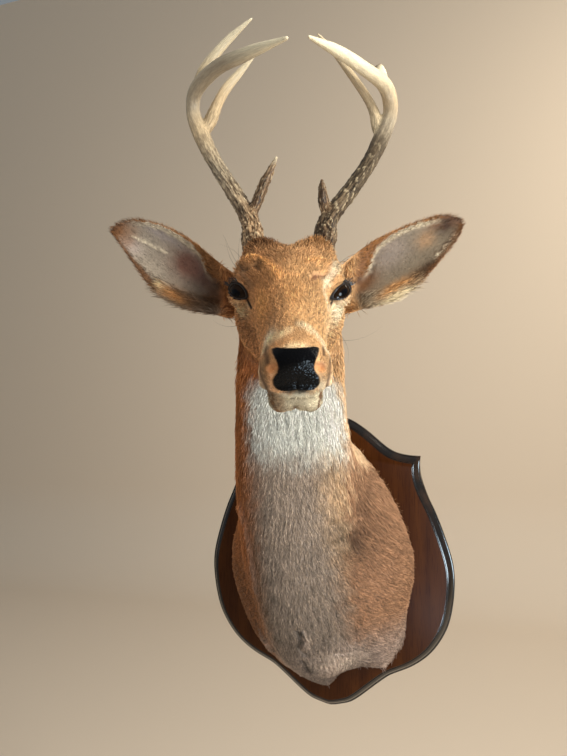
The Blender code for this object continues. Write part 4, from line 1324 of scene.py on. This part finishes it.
def makeEyes():
    glass, wet = makeMaterial("eyeGlass", glassFill), makeMaterial("lidSkin", lidFill)
    for name, s in (("Left", 1), ("Right", -1)):
        centre, axes = eyeFrame(s)
        bm = bmesh.new()
        bmesh.ops.create_uvsphere(bm, u_segments=64, v_segments=40, radius=eyeBall["radius"])
        for face in bm.faces:
            face.smooth = True
        bmesh.ops.translate(bm, verts=bm.verts, vec=fromHead(centre))
        eye = scratchObject("eye" + name, bm)
        co, _ = readMesh(eye.data)
        _, flat, _ = lidPlace(toHead(co), s)
        oval = np.linalg.norm((flat - eyeLook["pupilAt"]) / eyeLook["pupilReach"], axis=1)
        floatAttribute(eye, "pupil", fade(1.15, 0.95, oval))
        eye.data.materials.append(glass)
        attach(eye, "root")
        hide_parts("eye_" + name.lower())
        _, out, flat = lidCurve(s, 1.0, 72)
        onRim = fromHead(centre + out * (eyeBall["radius"] + 0.0004))
        rim = tubeMesh("lidRim" + name, onRim, eyeLook["rimTube"])
        rim.data.shade_smooth()
        rim.data.materials.append(wet)
        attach(rim, "root")
        # lashes on the outer half of the upper lid
        rng = np.random.default_rng(80 + s)
        _, out, flat = lidCurve(s, 1.03, 240)
        upper = np.flatnonzero((flat[:, 1] > 6) & (flat[:, 0] > 0))
        pick = upper[rng.integers(0, len(upper), eyeLook["lashes"])]
        root = fromHead(centre + out[pick] * (eyeBall["radius"] + 0.0008))
        normal = unit(out[pick] @ headAxes)
        spread = unit(unit(flat[pick]) @ axes[:2]) @ headAxes
        outward = axes[0] @ headAxes
        flow = unit(normal * 0.55 + spread * 0.45 + outward * 0.75 + upAxis * 0.12)
        normal = unit(np.cross(flow, np.cross(normal, flow)))
        lashes = tuftPiece("lashes" + name, root, normal, flow, rng.uniform(*eyeLook["lashLength"], len(pick)),
                           np.full(len(pick), eyeLook["lashWidth"]), np.full(len(pick), eyeLook["lashLift"]),
                           rng.normal(0, eyeLook["lashCurl"], len(pick)),
                           plain("black", len(pick)),
                           np.zeros((len(pick), 2)) + 0.5, (0, 0.4, 0.75), wet)
        lashes.data.uv_layers.remove(lashes.data.uv_layers["OFBake"])


makeEyes()
print("eyes set")


# (side, forward, up) from the eyes, level with the floor
antlerPaths = {
    -1: {
        "beam": [(-0.039, -0.036, 0.050), (-0.042, -0.042, 0.072), (-0.045, -0.052, 0.098), (-0.067, -0.074, 0.144),
                 (-0.092, -0.092, 0.191), (-0.109, -0.100, 0.230), (-0.119, -0.101, 0.260), (-0.112, -0.083, 0.279),
                 (-0.082, -0.042, 0.282), (-0.044, 0.002, 0.271), (0.003, 0.051, 0.257)],
        "brow": [(-0.045, -0.052, 0.098), (-0.037, -0.055, 0.121), (-0.024, -0.044, 0.146), (-0.011, -0.032, 0.168)],
        "second": [(-0.109, -0.100, 0.226), (-0.0975, -0.103, 0.247), (-0.087, -0.104, 0.272),
                   (-0.075, -0.103, 0.292), (-0.056, -0.097, 0.310), (-0.034, -0.084, 0.327)],
        "third": [(-0.112, -0.083, 0.279), (-0.104, -0.078, 0.297), (-0.087, -0.070, 0.315),
                  (-0.066, -0.060, 0.331), (-0.037, -0.044, 0.345)],
    },
    1: {
        "beam": [(0.040, -0.036, 0.050), (0.044, -0.042, 0.072), (0.050, -0.052, 0.098), (0.079, -0.074, 0.140),
                 (0.108, -0.091, 0.184), (0.127, -0.099, 0.222), (0.139, -0.100, 0.254), (0.130, -0.082, 0.278),
                 (0.098, -0.042, 0.277), (0.061, 0.003, 0.271), (0.024, 0.052, 0.257)],
        "brow": [(0.050, -0.052, 0.098), (0.045, -0.054, 0.116), (0.043, -0.048, 0.130), (0.042, -0.043, 0.144)],
        "second": [(0.125, -0.099, 0.216), (0.122, -0.103, 0.236), (0.118, -0.104, 0.258), (0.108, -0.103, 0.278),
                   (0.090, -0.098, 0.302), (0.067, -0.090, 0.329), (0.044, -0.079, 0.348)],
        "third": [(0.130, -0.082, 0.278), (0.123, -0.076, 0.291), (0.118, -0.072, 0.300)],
    },
}
antlerLook = {
    "voxel": 0.0013, "pearl": 0.0010, "groove": 0.0006, "burr": 0.0016,
    "dark": (0.125, 0.075, 0.042), "umber": (0.100, 0.074, 0.047), "brown": (0.310, 0.205, 0.120),
    "grey": (0.370, 0.310, 0.225), "tan": (0.520, 0.400, 0.250), "ivory": (0.800, 0.720, 0.520),
    "pale": (0.640, 0.540, 0.370),
}
# colour along each route: (share, colour name)
antlerShades = {
    -1: {"beam": [(0, "brown"), (0.18, "brown"), (0.35, "grey"), (0.5, "tan"), (0.62, "grey"), (0.85, "grey"),
                  (0.97, "ivory")],
         "brow": [(0, "brown"), (0.3, "dark"), (0.85, "brown"), (1, "ivory")],
         "second": [(0, "tan"), (0.5, "tan"), (1, "ivory")], "third": [(0, "tan"), (0.4, "pale"), (1, "ivory")]},
    1: {"beam": [(0, "dark"), (0.30, "umber"), (0.45, "umber"), (0.55, "grey"), (0.64, "tan"), (0.72, "pale"),
                 (0.84, "ivory"), (1, "ivory")],
        "brow": [(0, "brown"), (0.4, "dark"), (1, "dark")],
        "second": [(0, "pale"), (0.5, "tan"), (1, "pale")], "third": [(0, "ivory"), (0.8, "ivory"), (1, "dark")]},
}


def roundedPath(points, steps=8):
    # a smooth line through the points
    q = np.array([levelPoint(*v) for v in points])
    q = np.vstack([2 * q[0] - q[1], q, 2 * q[-1] - q[-2]])
    line = []
    for k in range(1, len(q) - 2):
        for u in np.linspace(0, 1, steps, endpoint=False):
            a, b, c, d = q[k - 1:k + 3]
            line.append(0.5 * (2 * b + (c - a) * u + (2 * a - 5 * b + 4 * c - d) * u * u
                               + (3 * (b - c) + d - a) * u ** 3))
    return np.array(line + [q[-2]])


boneLook = {
    "roughness": 0.5, "specular": 0.4, "streaks": 3.2, "bump": (0.5, 0.0008),
    "crack": (0.42, (0.16, 0.11, 0.075, 1)), "ridge": (0.60, (1.35, 1.32, 1.25, 1)),
}


def boneFill(tree):
    colour = readAttribute(tree, "boneColour", "Color")
    streaks = texture(tree, "TexNoise", boneLook["streaks"], at=readAttribute(tree, "grain", "Vector"), Detail=6,
                      Roughness=0.7)
    streaked = mixColour(tree, 1.0, colour, twoTone(tree, streaks, boneLook["crack"], boneLook["ridge"]), "MULTIPLY")
    return {"Base Color": mixColour(tree, readAttribute(tree, "worn"), colour, streaked),
            "Roughness": boneLook["roughness"], "Specular IOR Level": boneLook["specular"],
            "Normal": bump(tree, streaks, *boneLook["bump"])}


def makeAntler(name, s, material):
    parts = ["beam_lower", "beam_upper", "brow_tine", "second_tine", "third_tine"]
    bm = bmesh.new()
    for part in parts:
        mergedCopy(bm, "antler_" + name + "_" + part, 0.0003)
    ob = scratchObject("antlerForm", bm)
    addModifier(ob, "REMESH", mode="VOXEL", voxel_size=antlerLook["voxel"])
    mesh = bakedMesh(ob)
    co, tri = readMesh(mesh)
    co = relaxed(co, tri, np.full(len(co), 0.5), 5)
    normal = vertexNormals(co, tri, 2)
    near = np.full(len(co), 1e9)
    length = np.zeros(len(co))
    around = np.zeros((len(co), 2))
    rgb = np.zeros((len(co), 3))
    rough = np.zeros(len(co))
    for route, points in antlerPaths[s].items():
        line = roundedPath(points)
        d, t = pathDistance(co, line)
        k = np.minimum((t * (len(line) - 1)).astype(int), len(line) - 2)
        run = unit(np.diff(line, axis=0))[k]
        size = np.linalg.norm(np.diff(line, axis=0), axis=1).sum()
        centre = line[k] + (line[k + 1] - line[k]) * (t * (len(line) - 1) - k)[:, None]
        across = unit(np.cross(run, np.array([0.3, 0.9, 0.1])))
        other = np.cross(run, across)
        q = unit(co - centre)
        angle = np.stack([(q * across).sum(1), (q * other).sum(1)], 1)
        bias = 0.0 if route == "beam" else 0.0012
        closer = d + bias < near
        near = np.where(closer, d + bias, near)
        length = np.where(closer, t * size + (0.0 if route == "beam" else 0.37), length)
        around = np.where(closer[:, None], angle, around)
        shades = antlerShades[s][route]
        shade = np.stack([np.interp(t, [v[0] for v in shades], [antlerLook[v[1]][c] for v in shades])
                          for c in range(3)], 1)
        rgb = np.where(closer[:, None], shade, rgb)
        wear = {"beam": fade(0.62, 0.22, t), "brow": 1 - 0.5 * fade(0.8, 1, t),
                "second": 0.35 * fade(0.7, 0.1, t), "third": 0.3 * fade(0.6, 0.1, t)}[route]
        rough = np.where(closer, wear, rough)
    # even the colours where the routes meet
    rgb = relaxed(rgb, tri, np.full(len(co), 0.5), 14)
    rough = relaxed(rough[:, None], tri, np.full(len(co), 0.5), 14)[:, 0]
    # grain runs with the antler: round it in the first two, along it in the third
    grain = np.c_[around * 1.6, length * 26]
    groove = waves(np.c_[around * 0.011, length * 0.12], 0.0065, 91 + s, 3)
    pearls = waves(np.c_[around * 0.011, length * 0.60], 0.0052, 95 + s, 2)
    height = antlerLook["groove"] * groove * (0.35 + 0.65 * rough)
    height = height + antlerLook["pearl"] * fade(0.15, 0.7, pearls) * rough
    isBeam = (length < 0.36) & (rough > 0.3)
    burrBand = bell(length - 0.015, 0.0045) * isBeam
    knobs = waves(np.c_[around * 0.011, length * 0.9], 0.0050, 99 + s, 2)
    height = height + antlerLook["burr"] * burrBand * (0.45 + 0.75 * fade(-0.1, 0.6, knobs))
    co = co + normal * height[:, None]
    dirt = fade(0.0, -0.5, groove) * rough
    rgb = rgb * (1 - 0.55 * dirt)[:, None]
    bright = fade(0.25, 0.75, pearls) * rough + burrBand * fade(0.1, 0.6, knobs)
    rgb = rgb + (np.array(antlerLook["pale"]) - rgb) * (0.45 * np.clip(bright, 0, 1))[:, None]
    ob = writeMesh("antler" + name.capitalize(), co, tri)
    colourAttribute(ob, "boneColour", rgb)
    floatAttribute(ob, "worn", 0.20 + 0.80 * rough)
    layer = ob.data.attributes.new("grain", "FLOAT_VECTOR", "POINT")
    layer.data.foreach_set("vector", grain.astype(np.float32).ravel())
    ob.data.materials.append(material)
    bpy.data.meshes.remove(mesh)
    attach(ob, "root")
    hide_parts(*["antler_" + name + "_" + part for part in parts])


bone = makeMaterial("bone", boneFill)
makeAntler("left", 1, bone)
makeAntler("right", -1, bone)
print("antlers carved")


plaqueSpec = {
    "edge": 0.0082,  # straight part of the edge, from the wall
    # the moulding: how far each step goes in, and how far it rises
    "moulding": [(0.0006, 0.0006), (0.0010, 0.0004), (0.0006, 0.0002), (0.0007, 0.0012), (0.0010, 0.0018),
                 (0.0013, 0.0021), (0.0016, 0.0020), (0.0016, 0.0014), (0.0014, 0.0008), (0.0010, 0.0003)],
    "groove": (0.0008, -0.0004),
    "lip": (0.0008, 0.0004),
}
woodLook = {
    "dark": (0.30, (0.033, 0.009, 0.002, 1)), "light": (0.68, (0.056, 0.017, 0.0032, 1)),
    "pore": (0.36, (0.68, 0.62, 0.60, 1)), "between": (0.46, (1, 1, 1, 1)),
    "stretch": (26, 26, 1.6), "grain": 2.2, "pores": 22, "bump": (0.12, 0.0003), "roughness": 0.42, "specular": 0.08,
}
lacquerLook = {
    "black": (0.5, (0.008, 0.006, 0.005, 1)), "worn": (0.9, (0.035, 0.018, 0.010, 1)), "wear": 35, "roughness": 0.16,
}


def woodFill(tree):
    place = addNode(tree, "TexCoord", {}).outputs["Object"]
    place = addNode(tree, "Mapping", {"Vector": place, "Scale": woodLook["stretch"]}).outputs["Vector"]
    grain = texture(tree, "TexNoise", woodLook["grain"], at=place, Detail=9, Distortion=0.6)
    pores = texture(tree, "TexNoise", woodLook["pores"], at=place, Detail=3)
    wood = twoTone(tree, grain, woodLook["dark"], woodLook["light"])
    shade = twoTone(tree, pores, woodLook["pore"], woodLook["between"])
    return {"Base Color": mixColour(tree, 1.0, wood, shade, "MULTIPLY"), "Roughness": woodLook["roughness"],
            "Specular IOR Level": woodLook["specular"], "Normal": bump(tree, pores, *woodLook["bump"])}


def lacquerFill(tree):
    wear = texture(tree, "TexNoise", lacquerLook["wear"], Detail=5)
    return {"Base Color": twoTone(tree, wear, lacquerLook["black"], lacquerLook["worn"]),
            "Roughness": lacquerLook["roughness"]}


def insetOutline(line, corners, step):
    # the outline moved inwards, with the points of each side spread evenly again
    ahead, behind = unit(np.roll(line, -1, 0) - line), unit(line - np.roll(line, 1, 0))
    inA, inB = ahead[:, ::-1] * (1, -1), behind[:, ::-1] * (1, -1)
    moved = line + step * (inA + inB) / (1 + (inA * inB).sum(1, keepdims=True))
    for start, stop in zip(corners, corners[1:] + [corners[0] + len(line)]):
        index = np.arange(start, stop + 1) % len(line)
        run = moved[index]
        along = np.concatenate([[0], np.cumsum(np.linalg.norm(np.diff(run, axis=0), axis=1))])
        even = np.linspace(0, along[-1], len(index))
        moved[index] = np.stack([np.interp(even, along, run[:, 0]), np.interp(even, along, run[:, 1])], 1)
    return moved


def makePlaque():
    co, _ = readMesh(nodes["plaque"].data)
    rim = np.unique(np.round(co[co[:, 1] > -0.0001][:, [0, 2]], 5), axis=0)
    rim = rim[np.argsort(-np.arctan2(rim[:, 1], rim[:, 0]))]
    ahead, behind = unit(np.roll(rim, -1, 0) - rim), unit(rim - np.roll(rim, 1, 0))
    sharp = (ahead * behind).sum(1) < 0.75
    line = []
    for k in range(len(rim)):
        a, b, c, d = rim[k - 1], rim[k], rim[(k + 1) % len(rim)], rim[(k + 2) % len(rim)]
        a = 2 * b - c if sharp[k] else a
        d = 2 * c - b if sharp[(k + 1) % len(rim)] else d
        for u in (0, 1 / 3, 2 / 3):
            line.append(0.5 * (2 * b + (c - a) * u + (2 * a - 5 * b + 4 * c - d) * u * u
                               + (3 * (b - c) + d - a) * u ** 3))
    line = np.array(line)
    corners = [int(3 * k) for k in np.flatnonzero(sharp)]
    bm = bmesh.new()
    front = bm.faces.new([bm.verts.new((x, 0, z)) for x, z in line])
    level = 0.0
    for inward, rise in [(0, plaqueSpec["edge"])] + plaqueSpec["moulding"] + [plaqueSpec["groove"], plaqueSpec["lip"]]:
        line = insetOutline(line, corners, inward)
        level -= rise
        solid = bmesh.ops.extrude_face_region(bm, geom=[front])
        if level < -plaqueSpec["edge"]:
            bmesh.ops.delete(bm, geom=[front], context="FACES_ONLY")
        front = next(f for f in solid["geom"] if isinstance(f, bmesh.types.BMFace))
        first = front.verts[0]
        start = int(np.argmin(np.hypot(line[:, 0] - first.co.x, line[:, 1] - first.co.z)))
        for k, vert in enumerate(front.verts):
            vert.co = (line[(start + k) % len(line)][0], level, line[(start + k) % len(line)][1])
    bmesh.ops.recalc_face_normals(bm, faces=bm.faces)
    front.material_index = 1
    for face in bm.faces:
        face.smooth = face is not front
    ob = scratchObject("shield", bm)
    ob.data.set_sharp_from_angle(angle=radians(38))
    ob.data.materials.append(makeMaterial("blackLacquer", lacquerFill))
    ob.data.materials.append(makeMaterial("walnut", woodFill))
    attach(ob, "root")
    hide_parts("plaque")


makePlaque()
print("plaque moulded")


cameraSpec = {"at": (0.206, -0.956, 0.257), "right": (0.960, 0.280, -0.023), "forward": (-0.278, 0.959, 0.046),
              "lens": 27.05, "sensor": 36}
# place, aim, size, power, colour, and the kind of ray that doesn't see it
lights = {
    "keyLight": ((2.15, -0.90, 1.25), (0.02, -0.25, 0.15), 1.1, 84, (1.0, 0.96, 0.86), "glossy"),
    "topLight": ((-0.55, -1.15, 2.00), (0.03, -0.35, 0.35), 0.9, 15, (1.0, 0.93, 0.82), "glossy"),
    "frontLight": ((1.15, -1.25, -0.05), (0.05, -0.30, 0.12), 0.7, 14, (0.96, 0.98, 1.0), "glossy"),
    "fillLight": ((-1.3, -1.5, -0.6), (0.0, -0.1, 0.0), 1.4, 3.5, (0.80, 0.90, 1.0), "glossy"),
    "eyeGlint": ((1.00, -0.92, -0.17), (0.097, -0.351, 0.375), 0.46, 14.0, (0.70, 0.88, 1.0), "diffuse"),
    "noseGlint": ((0.56, -0.80, -0.56), (0.100, -0.514, 0.283), 0.22, 6.0, (0.60, 0.82, 1.0), "diffuse"),
    "wallLight": ((3.2, 1.4, 2.6), (0.4, 4.0, 1.6), 1.6, 90, (1.0, 0.92, 0.78), None),
}
roomSpec = {
    "half": 9, "floor": -1.3, "wallAt": 4.0, "wallHeight": 6, "bend": 0.8, "bendSteps": 12,
    "paint": (0.78, 0.66, 0.53, 1), "roughness": 0.9, "sky": (0.88, 0.97, 1.04, 1), "skyStrength": 0.24,
}


def makeCamera():
    data = bpy.data.cameras.new("camera")
    data.lens, data.sensor_width = cameraSpec["lens"], cameraSpec["sensor"]
    ob = placed("camera", data)
    back = -Vector(cameraSpec["forward"]).normalized()
    right = Vector(cameraSpec["right"])
    right = (right - back * right.dot(back)).normalized()
    up = back.cross(right)
    ob.matrix_world = Matrix.Translation(cameraSpec["at"]) @ Matrix((right, up, back)).transposed().to_4x4()
    bpy.context.scene.camera = ob


def makeLights():
    for name, (at, aim, size, power, colour, unseen) in lights.items():
        data = bpy.data.lights.new(name, "AREA")
        data.shape = "DISK"
        data.size, data.energy, data.color = size, power, colour
        ob = placed(name, data)
        ob.location = at
        ob.rotation_euler = (Vector(aim) - Vector(at)).to_track_quat("-Z", "Y").to_euler()
        if unseen:
            setattr(ob, "visible_" + unseen, False)


def makeRoom():
    # a floor that curves up into a wall
    bm = bmesh.new()
    wallAt, floor = roomSpec["wallAt"], roomSpec["floor"]
    bmesh.ops.create_grid(bm, x_segments=1, y_segments=1, size=roomSpec["half"])
    bmesh.ops.translate(bm, verts=bm.verts, vec=(0, wallAt - roomSpec["half"], floor))
    back = [e for e in bm.edges if all(v.co.y > wallAt - 0.1 for v in e.verts)]
    rise = bmesh.ops.extrude_edge_only(bm, edges=back)
    top = [v for v in rise["geom"] if isinstance(v, bmesh.types.BMVert)]
    bmesh.ops.translate(bm, verts=top, vec=(0, 0, roomSpec["wallHeight"]))
    corner = [e for e in bm.edges if all(v.co.y > wallAt - 0.1 and v.co.z < floor + 0.3 for v in e.verts)]
    bmesh.ops.bevel(bm, geom=corner, affect="EDGES", offset=roomSpec["bend"], segments=roomSpec["bendSteps"],
                    profile=0.5, material=-1)
    ob = scratchObject("floor", bm)
    ob.data.shade_smooth()
    paint = {"Base Color": roomSpec["paint"], "Roughness": roomSpec["roughness"]}
    ob.data.materials.append(makeMaterial("paleFloor", lambda tree: paint))
    world = bpy.data.worlds.new("softLight")
    world.use_nodes = True
    sky = {"Color": roomSpec["sky"], "Strength": roomSpec["skyStrength"]}
    wire(world.node_tree, world.node_tree.nodes["Background"], sky)
    bpy.context.scene.world = world


makeCamera()
makeRoom()
makeLights()
bpy.context.scene.view_settings.view_transform = "Standard"
print("camera, room and lights set")
